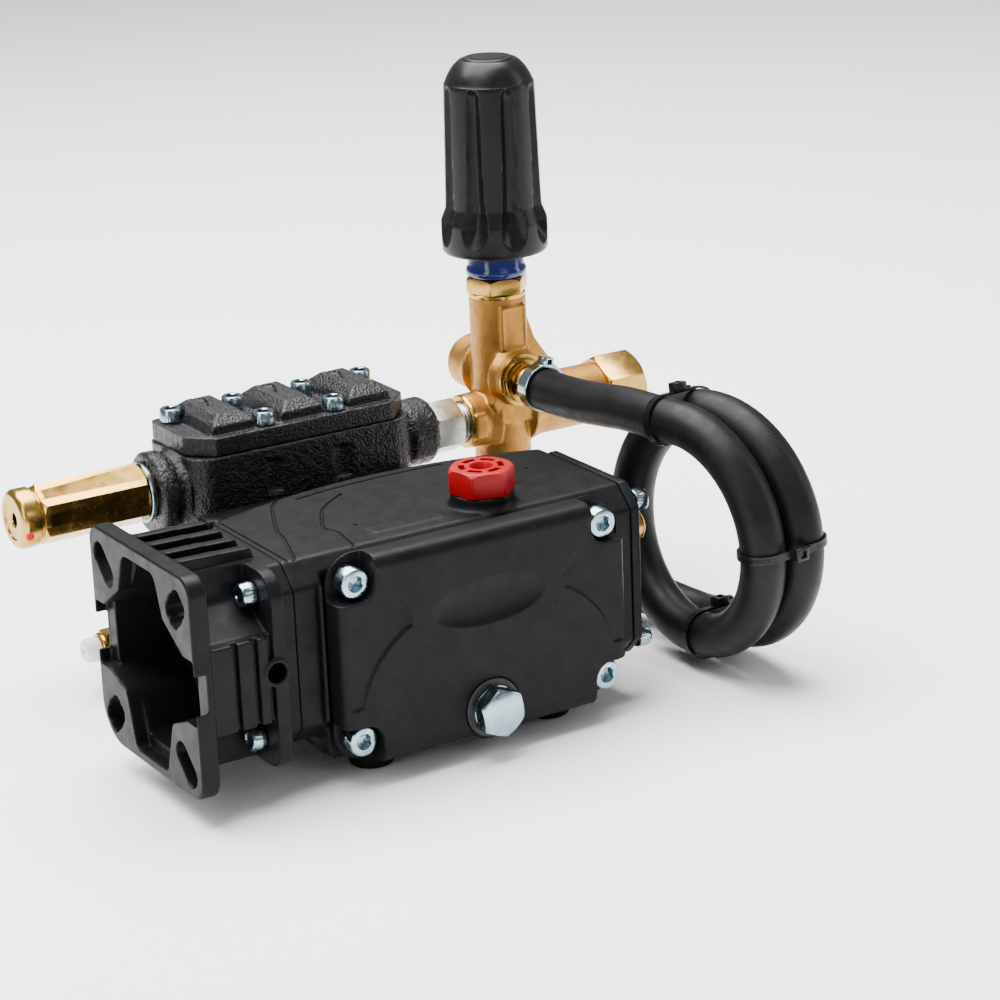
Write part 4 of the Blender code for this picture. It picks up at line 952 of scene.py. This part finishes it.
def valve_cover():
    low, high = LID
    base, deck, crown = 43.3, 51.7, high.z
    corners = [
        (low.x + 11.0, low.y), (high.x - 11.0, low.y), (high.x, low.y + 11.0),
        (high.x, high.y), (low.x, high.y), (low.x, low.y + 11.0),
    ]
    plate = prism(round_corners(corners, [4.0] * 6), "Z", base, deck)
    ribs = []
    for x in CYLINDERS:
        section = [(x - 12.2, 50.5), (x + 12.2, 50.5), (x + 9.6, 56.6), (x + 6.6, crown), (x - 5.4, crown),
                   (x - 9.6, 56.0)]
        rib = prism(round_corners(section, [0.5, 0.5, 1.4, 1.2, 1.2, 1.4]), "Y", low.y + 3.5, high.y - 2.0)
        front_fall = [(low.y - 1.0, 52.5), (low.y + 9.0, crown + 0.4), (low.y - 1.0, crown + 4.0)]
        back_fall = [(high.y + 1.0, 53.5), (high.y - 7.0, crown + 0.4), (high.y + 1.0, crown + 4.0)]
        dent = [(x - 2.2, high.y - 24.0), (x + 3.0, high.y - 9.0), (x - 2.2, high.y - 6.0)]
        slope = prism(front_fall, "X", x - 20.0, x + 20.0)
        back = prism(back_fall, "X", x - 20.0, x + 20.0)
        wedge = prism(dent, "Z", crown - 1.4, crown + 4.0)
        ribs.append(cut(rib, slope, back, wedge, *lid_columns(6.2, near_x=x)))
    plugs = [bar((x, GALLERY.y, 46.0), "-Z", 11.6, 8.0, sides=64) for x in CYLINDERS]
    spots = [(low.x - 0.35, low.y + 11.5 + index * 1.65) for index in range(20)]
    for index in range(8):
        share = (index + 0.5) / 8
        spots.append((low.x + 11.0 * share - 0.25, low.y + 11.0 * (1 - share) - 0.25))
    teeth = [bar((x, y, base + 1.2), "Z", 0.62, deck - base - 1.6, sides=8) for x, y in spots]
    body = unite(plate, *ribs, *plugs)
    body = cut(body, *teeth, *lid_columns(3.4))
    shape = casting(body, 0.5, 2, lumps=(1.3, 0.3), keep=0.42)
    show("valve_cover_shape", shape, painted_iron(), ["valve_cover"], sharp=60.0)


def relief_valve():
    low, high = extent("relief_valve")
    y, z = (low.y + high.y) / 2, (low.z + high.z) / 2
    barrel = bar((low.x + 10.5, y, z), "X", 24.0 / math.sqrt(3), 49.5, sides=6, turn=30.0)
    cone = lathe((low.x + 10.5, y, z), "X", [
        (0, -0.2), (11.7, -0.2), (12.2, 0.0), (14.0, 1.5), (14.0, 48.0), (12.2, 49.5), (0, 49.5)], steps=96)
    barrel = combine("INTERSECT", barrel, [cone])
    collar = lathe((low.x, y, z), "X", [
        (0, 0.9), (8.6, 0.9), (9.0, 0.2), (10.6, 0.0), (11.8, 0.5), (13.0, 1.8), (13.2, 2.6),
        (13.2, 8.2), (12.9, 8.6), (11.7, 9.0), (11.6, 10.0), (12.4, 10.5), (12.4, 13.0), (0, 13.0)], steps=96)
    stub = bar((low.x + 60.0, y, z), "X", 9.4, 13.5, sides=48)
    body = cut(
        rounded(unite(barrel, collar, stub), 0.25, 2, 32.0),
        lathe((low.x - 2.0, y, z), "X", [
            (0, 0), (5.2, 0), (5.2, 2.6), (3.6, 2.9), (3.0, 3.6), (3.0, 26.0), (0, 27.0)]),
        bar((low.x + 22.0, y, z), "X", 5.5, 60.0, sides=40),
    )
    show("relief_valve_shape", body, machined_brass(), ["relief_valve"])

    washer = lathe((low.x + 60.3, y, z), "X", [
        (12.0, 0.0), (13.3, 0.0), (13.6, 0.3), (13.6, 2.0), (13.3, 2.4), (12.0, 2.4)], steps=96)
    ring_stub = lathe((low.x + 60.3, y, z), "X", [(9.3, 0.2), (12.5, 0.2), (12.5, 2.2), (9.3, 2.2)], steps=96)
    show("relief_valve_washer", unite(washer, ring_stub), zinc_plate(), ["relief_valve"])

    dab = lathe((low.x + 2.6, y - 12.5, z - 4.6), "-Y", [
        (0, -1.2), (1.0, -1.1), (1.9, -0.4), (2.0, 0.0), (1.4, 0.5), (0, 0.62)], steps=24)
    dab = casting(dab, 0.2, 3, lumps=(2.0, 0.3), keep=0.8)
    paint = surface("red_paint_dab", (0.75, 0.01, 0.012), 0.35, tint_size=2.0, grain=(0.5, 0.02))
    show("relief_valve_paint_dab", dab, paint, ["relief_valve"])


def thermal_relief():
    low, high = extent("thermal_relief")
    y, z = (low.y + high.y) / 2, (low.z + high.z) / 2
    barrel = bar((low.x + 2.0, y, z), "X", 14.0 / math.sqrt(3), 30.5, sides=6)
    cone = lathe((low.x + 2.0, y, z), "X", [
        (0, 0), (7.0, 0), (8.3, 0.9), (8.3, 29.6), (7.2, 30.5), (0, 30.5)])
    barrel = combine("INTERSECT", barrel, [cone])
    collar = lathe((low.x, y, z), "X", [
        (0, 0), (6.3, 0), (6.8, 0.5), (6.8, 1.6), (6.2, 2.0), (6.2, 3.0), (0, 3.0)])
    stub = bar((62.0, y, z), "X", 7.6, high.x - 62.0)
    body = cut(unite(barrel, collar, stub), bar((20.0, y, z), "X", 3.2, 70.0))
    show("thermal_relief_shape", rounded(body, 0.2, 2, 35.0), machined_brass(), ["thermal_relief"])
    low, high = extent("thermal_relief_tip")
    tip = lathe((low.x + 7.0, y, z), "-X", [
        (0, -5.0), (2.9, -5.0), (2.9, 0), (5.5, 0.0), (5.6, 0.4), (5.3, 5.4), (4.6, 6.5), (3.8, 7.0),
        (0, 7.0)])
    tip = cut(rounded(tip, 0.2, 2, 30.0), bar((20.0, y, z), "X", 1.2, 20.0))
    show("thermal_relief_tip_shape", tip, white_nylon(), ["thermal_relief_tip"])


def thread(start, axis, radius, length):
    """A cutter for an internal thread: a bore whose wall zigzags."""
    depth, pitch = 0.7, 1.6
    profile = [(0, -1.0), (radius + 0.8, -1.0), (radius + 0.8, 0.0)]
    height = 0.0
    while height + pitch < length:
        profile += [(radius - depth, height + pitch * 0.5), (radius, height + pitch)]
        height += pitch
    profile += [(radius - depth, length), (0, length)]
    return lathe(start, axis, profile)


def barb(start, length):
    """A hose barb along -Y, whose cones widen towards the fitting."""
    rise = length / 2
    profile = [(0, length), (5.5, length), (6.7, rise + 0.7), (6.5, rise + 0.3), (5.5, rise),
               (6.7, 0.7), (6.5, 0.3), (5.5, 0), (0, 0)]
    return lathe(start, "-Y", profile[::-1])


def inlet_tee():
    low, high = extent("inlet_tee")
    y, z = 118.0, (low.z + high.z) / 2
    barb_x = middle("hose_clamp_inlet").x
    body = unite(
        lathe((197.3, y, z), "X", [(0, 0), (11.6, 0), (10.8, 12.0), (10.6, 40.0), (11.4, 52.0), (0, 52.0)]),
        bar((low.x, y, z), "X", 7.6, 12.0),
        rounded(bar((197.3, y, z), "X", 24.0 / math.sqrt(3), 10.0, sides=6), 0.8, 3),
        lathe((barb_x, y, z), "-Y", [(0, 0), (10.5, 8.0), (8.6, 12.0), (8.5, 15.0), (0, 15.0)]),
        barb((barb_x, y - 14.0, z), 7.6),
    )
    swivel = loft((247.0, y, z), "X", [
        (0.0, ring(14.6, 72)), (1.0, ring(15.5, 72)), (1.8, ring(15.6, 72)), (2.4, ring(16.4, 72, 0.9)),
        (14.2, ring(16.4, 72, 0.9)), (14.8, ring(15.7, 72)), (15.8, ring(15.7, 72)), (17.0, ring(14.9, 72))])
    body = unite(body, swivel)
    cutters = [
        bar((180.0, y, z), "X", 5.5, 70.0, sides=40),
        thread((high.x, y, z), "-X", 12.9, 12.0),
        bar((barb_x, 80.0, z), "Y", 4.0, 40.0, sides=40),
    ]
    show("inlet_tee_shape", cut(body, *cutters), cast_brass(), ["inlet_tee"], sharp=32.0)


# ---------------------------------------------------------------- unloader valve

def gallery_nipple():
    low, high = extent("gallery_nipple")
    y, z = GALLERY.y, GALLERY.z
    hexed = bar((204.5, y, z), "X", 22.0 / math.sqrt(3), 14.5, sides=6, turn=30.0)
    cone = lathe((204.5, y, z), "X", [(0, 0), (11.2, 0), (12.9, 1.0), (12.9, 13.5), (11.2, 14.5), (0, 14.5)])
    hexed = combine("INTERSECT", hexed, [cone])
    ends = []
    for start, length in ((low.x, 14.0), (217.0, high.x - 217.0)):
        profile = [(0, 0), (8.9, 0)]
        turns = int(length / 1.4)
        for step in range(turns):
            profile += [(9.4, (step + 0.5) * length / turns), (8.9, (step + 1) * length / turns)]
        ends.append(lathe((start, y, z), "X", profile + [(0, length)]))
    body = cut(unite(rounded(hexed, 0.3, 2, 40.0), *ends), bar((185.0, y, z), "X", 5.0, 60.0))
    show("gallery_nipple_shape", body, plain_steel(), ["gallery_nipple"])


def unloader_body():
    """Sand-cast brass, with its ends and hexagon machined bright afterwards."""
    low, high = extent("unloader_body")
    x, y, z, bypass_z = UNLOADER.x, UNLOADER.y, GALLERY.z, middle("bypass_barb").z
    outlet_z = z + 0.8
    gusset = [(x + 5.0, 76.0), (x + 13.2, 73.0), (x + 17.0, 62.0), (x + 31.0, 42.0), (x + 31.0, 30.0),
              (x + 5.0, 30.0)]
    cheek = [(x - 8.0, 26.0), (x - 13.0, 37.0), (x - 8.0, 50.0), (x + 8.0, 50.0), (x + 8.0, 26.0)]
    raw = unite(
        lathe((x, y, low.z), "Z", [
            (0, 0), (11.0, 0), (12.6, 1.2), (13.2, 3.5), (13.2, 95.6), (0, 95.6)], steps=96),
        lathe((x, y, z), "-X", [(0, 0), (15.0, 8.0), (12.9, 13.0), (12.7, 20.6), (0, 20.6)], steps=80),
        lathe((x, y, outlet_z), "X", [(0, 0), (16.0, 10.0), (14.2, 17.0), (14.0, 53.0), (0, 53.0)], steps=80),
        lathe((x, y, bypass_z), "-Y", [
            (0, 0), (14.0, 11.0), (12.4, 16.0), (12.2, 19.4), (0, 19.4)], steps=80),
        lathe((x, y, bypass_z - 0.5), "Y", [
            (0, 0), (15.0, 10.0), (13.0, 15.0), (12.9, 26.0), (12.0, 27.5), (0, 27.5)], steps=80),
        prism(gusset, "Y", y - 4.6, y + 4.6),
        prism(cheek, "Y", y - 13.4, y - 6.0),
        rounded(block((x - 6.6, y - 14.0, 61.0), (x + 7.0, y - 10.0, 82.0)), 0.6, 3),
        rounded(block((x - 22.0, y - 13.4, z - 6.0), (x - 15.5, y - 10.0, z + 6.0)), 0.5, 3),
    )
    raw = cut(raw, rounded(block((x - 5.6, y - 16.0, 62.0), (x + 6.0, y - 13.6, 81.0)), 0.3, 2))
    raw = casting(raw, 0.5, 9, lumps=(1.1, 0.16), keep=0.4)
    hexed = bar((high.x - 21.0, y, outlet_z), "X", 30.0 / math.sqrt(3), 21.0, sides=6, turn=30.0)
    cone = lathe((high.x - 21.0, y, outlet_z), "X", [
        (0, 0), (15.6, 0.0), (17.4, 1.6), (17.4, 19.0), (15.6, 20.6), (15.2, 21.0), (0, 21.0)], steps=96)
    hexed = rounded(combine("INTERSECT", hexed, [cone]), 0.35, 2, 30.0)
    faces = [
        lathe((x, y, high.z - 1.6), "Z", [
            (0, -1.0), (13.0, -1.0), (13.2, 0.0), (13.2, 1.2), (12.8, 1.6), (0, 1.6)], steps=96),
        lathe((x - 20.4, y, z), "-X", [
            (0, -1.0), (12.4, -1.0), (12.7, 0.0), (12.5, 1.4), (11.9, 2.0), (0, 2.0)], steps=96),
        lathe((x, y - 19.2, bypass_z), "-Y", [
            (0, -1.0), (12.0, -1.0), (12.4, 0.0), (12.2, 0.9), (10.6, 1.1), (10.5, 2.6), (9.9, 2.8),
            (0, 2.8)], steps=96),
    ]
    bores = [
        bar((x, y, 15.0), "Z", 8.6, 80.0, sides=56),
        bar((x - 30.0, y, z), "X", 5.0, 35.0, sides=40),
        bar((x + 4.0, y, outlet_z), "X", 1.6, 56.0, sides=24),
        bar((x - 30.0, y, z), "X", 9.8, 16.0, sides=56),
        bar((x, y - 30.0, bypass_z), "Y", 4.2, 30.0, sides=40),
        bar((x, y - 30.0, bypass_z), "Y", 7.0, 18.0, sides=48),
    ]
    threads = thread((high.x, y, outlet_z), "-X", 9.9, 17.0)
    raw = cut(raw, *bores)
    show("unloader_body_shape", raw, cast_brass(), ["unloader_body"], sharp=40.0)
    drill = [
        bar((x - 30.0, y, z), "X", 9.8, 16.0, sides=56),
        bar((x, y, 15.0), "Z", 8.6, 80.0, sides=56),
        bar((x, y - 30.0, bypass_z), "Y", 7.0, 18.0, sides=48),
    ]
    ends = cut(unite(*faces), *drill)
    show("unloader_body_faces", ends, machined_brass(), ["unloader_body"])
    hexed = cut(hexed, threads, bar((x + 20.0, y, outlet_z), "X", 1.6, 40.0, sides=24))
    show("unloader_outlet_hexagon", hexed, machined_brass(), ["unloader_body"])


def unloader_top():
    x, y = UNLOADER.x, UNLOADER.y
    low, high = extent("unloader_guide_nut")
    base = low.z + 5.3
    hexed = bar((x, y, base), "Z", 25.6 / math.sqrt(3), 7.1, sides=6, turn=16.7)
    cone = lathe((x, y, base), "Z", [
        (0, 0), (14.2, 0), (14.7, 0.5), (14.7, 6.0), (13.0, 7.1), (0, 7.1)], steps=96)
    hexed = rounded(combine("INTERSECT", hexed, [cone]), 0.25, 2, 25.0)
    tail = bar((x, y, base + 0.5), "-Z", 8.3, 5.6)
    neck = bar((x, y, base + 4.5), "Z", 9.5, high.z - base - 4.5)
    nut = cut(unite(hexed, tail, neck), bar((x, y, 70.0), "Z", 5.0, 40.0))
    show("unloader_guide_nut_shape", nut, machined_brass(), ["unloader_guide_nut"])

    low, high = extent("unloader_lock_ring")
    tall = high.z - low.z
    profile = [(9.8, 0), (12.6, 0), (13.4, 0.4), (14.0, 1.3), (14.1, 2.4), (13.9, 3.6), (13.3, 4.6),
               (12.9, 5.6), (12.9, tall - 0.6), (12.5, tall), (9.8, tall)]
    ring_shape = lathe((x, y, low.z), "Z", profile, steps=96)
    show("unloader_lock_ring_shape", rounded(ring_shape, 0.15, 2, 30.0), ring_enamel(),
         ["unloader_lock_ring"])


def blend_between(knots, height):
    """The value at a height, on a smooth curve through (height, value) knots."""
    slopes = []
    for index in range(len(knots)):
        low, high = knots[max(index - 1, 0)], knots[min(index + 1, len(knots) - 1)]
        slopes.append((high[1] - low[1]) / (high[0] - low[0]))
    for index, ((low, first), (high, second)) in enumerate(zip(knots, knots[1:])):
        if height <= high:
            span = high - low
            t = max(0.0, (height - low) / span)
            eased = first * (1 + 2 * t) * (1 - t) ** 2 + second * t * t * (3 - 2 * t)
            return eased + span * t * (1 - t) * (slopes[index] * (1 - t) - slopes[index + 1] * t)
    return knots[-1][1]


KNOB_SHELL = [
    (0.0, 23.5), (1.2, 24.3), (14.2, 24.4), (15.2, 24.2), (20.2, 22.3), (21.4, 22.1), (76.0, 20.7),
    (78.0, 20.4)]
FLUTE_DEPTH = [
    (3.8, 0.0), (8.0, 2.6), (12.6, 5.0), (15.0, 5.2), (22.0, 4.3), (30.0, 3.8), (72.0, 2.9), (75.6, 2.0),
    (77.4, 0.0)]
FLUTE_WIDTH = [
    (3.8, 0.02), (5.0, 0.12), (8.0, 0.215), (13.5, 0.27), (17.0, 0.26), (25.0, 0.205), (57.0, 0.163),
    (73.6, 0.15), (76.0, 0.11), (77.4, 0.02)]


def knob_ring(height):
    """One level of the knob: a circle with eight flutes, which end in drops near the skirt."""
    reach = blend_between(KNOB_SHELL, height)
    depth, width = blend_between(FLUTE_DEPTH, height), blend_between(FLUTE_WIDTH, height)
    points = []
    for step in range(288):
        angle = 2 * math.pi * step / 288
        off = (math.degrees(angle) - 36.2 + 22.5) % 45.0 - 22.5
        share = abs(math.radians(off)) / width
        carve = depth * (1.0 - share * share) ** 0.8 if share < 1 else 0.0
        points.append(((reach - carve) * math.cos(angle), (reach - carve) * math.sin(angle)))
    return points


def unloader_knob():
    low, high = KNOB
    x, y = UNLOADER.x, UNLOADER.y
    tall = high.z - low.z
    levels = [0.0, 0.4, 0.8, 1.2, 2.4] + [3.8 + step * 0.96 for step in range(78)]
    rings = [(level, knob_ring(level)) for level in levels]
    dome = [(78.2, 20.0), (79.6, 19.5), (81.3, 18.7), (83.0, 17.7), (84.6, 16.6), (86.0, 15.4), (87.2, 14.1),
            (87.9, 13.2), (88.1, 12.7), (88.0, 12.2), (88.3, 11.9)]
    rings += [(level, ring(radius, 288)) for level, radius in dome]
    shell = loft((x, y, low.z), "Z", rings)
    cap = lathe((x, y, low.z + 87.0), "Z", [
        (0, -1.0), (11.4, -1.0), (11.4, 1.5), (10.8, 1.9), (7.6, tall - 87.1), (7.2, tall - 87.0),
        (0, tall - 87.0)])
    circle = lathe((x, y, low.z + 87.0), "Z", [(8.0, 1.9), (8.6, 1.9), (8.6, 3.0), (8.0, 3.0)])
    hollow = [
        lathe((x, y, low.z - 1.0), "Z", [
            (0, 0), (18.0, 0), (16.6, 2.0), (16.6, 35.5), (15.6, 36.0), (0, 36.0)]),
        bar((x, y, low.z), "Z", 5.2, 66.0, sides=40),
    ]
    shape = cut(unite(shell, cap), circle, *hollow)
    show("unloader_knob_shape", shape, knob_plastic(), ["unloader_knob"],
         body="unloader_knob", sharp=30.0)


def unloader_inside():
    x, y = UNLOADER.x, UNLOADER.y
    low, high = extent("adjusting_screw")
    profile = [(0, 0), (7.4, 0), (7.8, 0.4), (7.8, 2.0), (7.4, 2.4), (4.4, 2.4)]
    height = 3.0
    while height < high.z - low.z - 2.0:
        profile += [(4.7, height + 0.75), (4.25, height + 1.5)]
        height += 1.5
    profile += [(4.2, high.z - low.z - 0.8), (3.6, high.z - low.z), (0, high.z - low.z)]
    screw = lathe((x, y, low.z), "Z", profile, steps=40)
    show("adjusting_screw_shape", screw, zinc_plate(), ["adjusting_screw"],
         body="adjusting_screw")

    low, high = extent("unloader_spring")
    turns, foot = 5.0, low.z + 2.8
    tall = high.z - 1.2 - foot
    points = []
    for step in range(121):
        angle = 2 * math.pi * turns * step / 120
        rise = foot + tall * step / 120
        points.append(at(x + 6.2 * math.cos(angle), y + 6.2 * math.sin(angle), rise))
    coil = tube(points, 1.15, sides=14)
    spring = show("unloader_spring_shape", coil, ground_steel(), ["unloader_spring"])
    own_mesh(spring)


# ---------------------------------------------------------------- bypass hose

def coil_point(degrees):
    """The hose's centre line on its turn and a half beside the end cover."""
    turn, angle = (degrees - 80.0) / 360.0, math.radians(degrees)
    x = 248.0 + 20.4 * turn + 5.0 * math.sin(2 * math.pi * turn)
    return (x, -14.5 + 49.0 * math.cos(angle), 6.0 + 49.0 * math.sin(angle))


def hose_route():
    """From the unloader's bypass port, round the coil and back to the inlet's barb."""
    start, end = extent("hose_clamp_unloader")[1].y + 2.2, extent("hose_clamp_inlet")[1].y + 0.9
    lead_in = [(UNLOADER.x, start, 48.3), (245.7, 76.0, 47.8), (246.3, 56.0, 48.8), (246.9, 36.0, 51.2),
               (247.3, 17.0, 53.6)]
    coil = [coil_point(84.0 + 550.0 * step / 36) for step in range(37)]
    lead_out = [(277.3, 3.5, -45.7), (275.2, 17.0, -45.6), (270.0, 36.0, -43.6), (261.0, 53.0, -41.0),
                (250.5, 67.0, -39.2), (242.4, 78.5, -38.2), (240.0, 87.0, -38.0), (240.0, end, -38.0)]
    return [at(*point) for point in lead_in + coil + lead_out]


def bypass_hose():
    path = smooth_path(hose_route(), 0.0024)
    hose = rounded(tube(path, 9.75, sides=40), 0.7, 3, 60.0)
    hose = show("bypass_hose_shape", hose, hose_rubber(), ["bypass_hose"], sharp=0)


def ear_clamp(node, ear_angle):
    """A thin stainless band round the hose, closed by one pinched ear."""
    low, high = extent(node)
    centre = middle(node)
    x, z = centre.x, low.z + (high.x - low.x) / 2
    outer, inner = 11.1, 10.0
    width = high.y - low.y
    band = lathe((x, low.y, z), "Y", [
        (inner, 0), (outer - 0.2, 0), (outer, 0.25), (outer, width - 0.25), (outer - 0.2, width),
        (inner, width)], steps=96)
    left_side = [(-4.6, -0.9), (-3.4, 0.1), (-2.3, 1.0), (-2.0, 2.2), (-2.6, 3.0)]
    right_side = [(-a, b) for a, b in reversed(left_side)]
    crown = z + outer
    ear = prism([(x + a, crown + b) for a, b in left_side + right_side], "Y", low.y + 0.2, high.y - 0.2)
    opening = [(-1.2, -1.0), (-1.0, 2.2), (1.0, 2.2), (1.2, -1.0)]
    slot = prism([(x + a, crown + b) for a, b in opening], "Y", low.y - 1.0, high.y + 1.0)
    dimple = bar((x, (low.y + high.y) / 2, z + outer + 2.6), "Z", 1.0, 3.0, sides=20)
    ear = rounded(cut(ear, slot, dimple), 0.25, 2, 40.0)
    pivot = at(x, 0, z)
    turn = Matrix.Rotation(math.radians(ear_angle), 4, "Y")
    ear.data.transform(Matrix.Translation(pivot) @ turn @ Matrix.Translation(-pivot))
    return show(f"{node}_shape", unite(band, ear), zinc_plate(), [node])


def bypass_barb():
    high = extent("bypass_barb")[1]
    centre = middle("bypass_barb")
    x, z = centre.x, centre.z
    collar_y = UNLOADER.y - 22.4
    collar = bar((x, collar_y, z), "-Y", 9.0, 2.4, sides=6, turn=10.0)
    cone = lathe((x, collar_y, z), "-Y", [(0, 0), (8.2, 0), (8.6, 0.4), (8.6, 2.0), (8.2, 2.4), (0, 2.4)])
    collar = combine("INTERSECT", collar, [cone])
    stub = bar((x, UNLOADER.y - 24.0, z), "Y", 6.7, high.y - UNLOADER.y + 24.0, sides=48)
    body = unite(collar, stub, barb((x, UNLOADER.y - 24.4, z), 5.6))
    body = cut(body, bar((x, 80.0, z), "Y", 3.6, 60.0, sides=40))
    show("bypass_barb_shape", body, machined_brass(), ["bypass_barb"], sharp=30.0)


def cable_tie(node, degrees, buckle_side):
    """A notched nylon strap round the two neighbouring strands of the coil."""
    first, second = Vector(coil_point(degrees)), Vector(coil_point(degrees + 360.0))
    along = (Vector(coil_point(degrees + 3.0)) - Vector(coil_point(degrees - 3.0))).normalized()
    across = (second - first).normalized()
    outward = along.cross(across).normalized()
    across = outward.cross(along).normalized()
    centre, half = (first + second) / 2, (second - first).length / 2
    inner = 9.75 + 0.35

    def stadium(radius, steps=20):
        right = [(half + radius * math.cos(a), radius * math.sin(a))
                 for a in [math.pi * (step / steps - 0.5) for step in range(steps + 1)]]
        return right + [(-u, -v) for u, v in right]

    band = cut(prism(stadium(inner + 1.0), "Z", -1.7, 1.7), prism(stadium(inner), "Z", -5.0, 5.0))
    notches = [block((u - 0.42, v - 0.42, -1.0), (u + 0.42, v + 0.42, 1.0))
               for u, v in stadium(inner + 1.3, steps=35)]
    band = cut(band, *notches)
    head_v = (inner + 0.2) * buckle_side
    low_v, high_v = sorted((head_v, head_v + 4.6 * buckle_side))
    head = rounded(block((-3.1, low_v, -2.9), (3.1, high_v, 2.9)), 0.6, 3)
    tail = block((2.0, low_v + 1.0, -1.5), (6.4, low_v + 2.1, 1.5))
    window_v = (high_v - 1.2, high_v + 1.0) if buckle_side > 0 else (low_v - 1.0, low_v + 1.2)
    window = block((-1.2, window_v[0], -1.6), (1.6, window_v[1], 1.6))
    shape = unite(band, cut(unite(head, tail), window))
    frame_turn = Matrix((across, outward, along)).transposed().to_4x4()
    shape.data.transform(Matrix.Translation(-ORIGIN))
    shape.data.transform(Matrix.Translation(at(*centre)) @ frame_turn)
    show(f"{node}_shape", shape, tie_nylon(), [node], sharp=30.0)


# ---------------------------------------------------------------- assembly

KEPT = {node: ground_steel for node in ("bearing_engine_side", "bearing_cover_side", "unloader_piston")}
for number in (1, 2, 3):
    KEPT[f"connecting_rod_{number}"] = bearing_bronze
    KEPT[f"plunger_{number}"] = ground_steel
    KEPT[f"discharge_valve_{number}"] = ground_steel


def finish_kept_nodes():
    """Inner pieces keep their CAD shape and take the same metal as their neighbours."""
    for node, finish in KEPT.items():
        mesh = frame["nodes"][node].data
        mesh.materials.clear()
        mesh.materials.append(finish())


make_camera()
bypass_hose()
make_studio()
screws()
crankcase()
crankcase_cover()
end_cover()
small_case_parts()
oil_filler_cap()
engine_flange()
crankshaft()
manifold_head()
valve_cover()
relief_valve()
thermal_relief()
inlet_tee()
gallery_nipple()
unloader_body()
unloader_top()
unloader_knob()
unloader_inside()
bypass_barb()
ear_clamp("hose_clamp_unloader", 12.0)
ear_clamp("hose_clamp_inlet", 0.0)
cable_tie("cable_tie_top", 80.0, 1)
cable_tie("cable_tie_side", 178.0, 1)
cable_tie("cable_tie_bottom", 264.0, -1)
finish_kept_nodes()
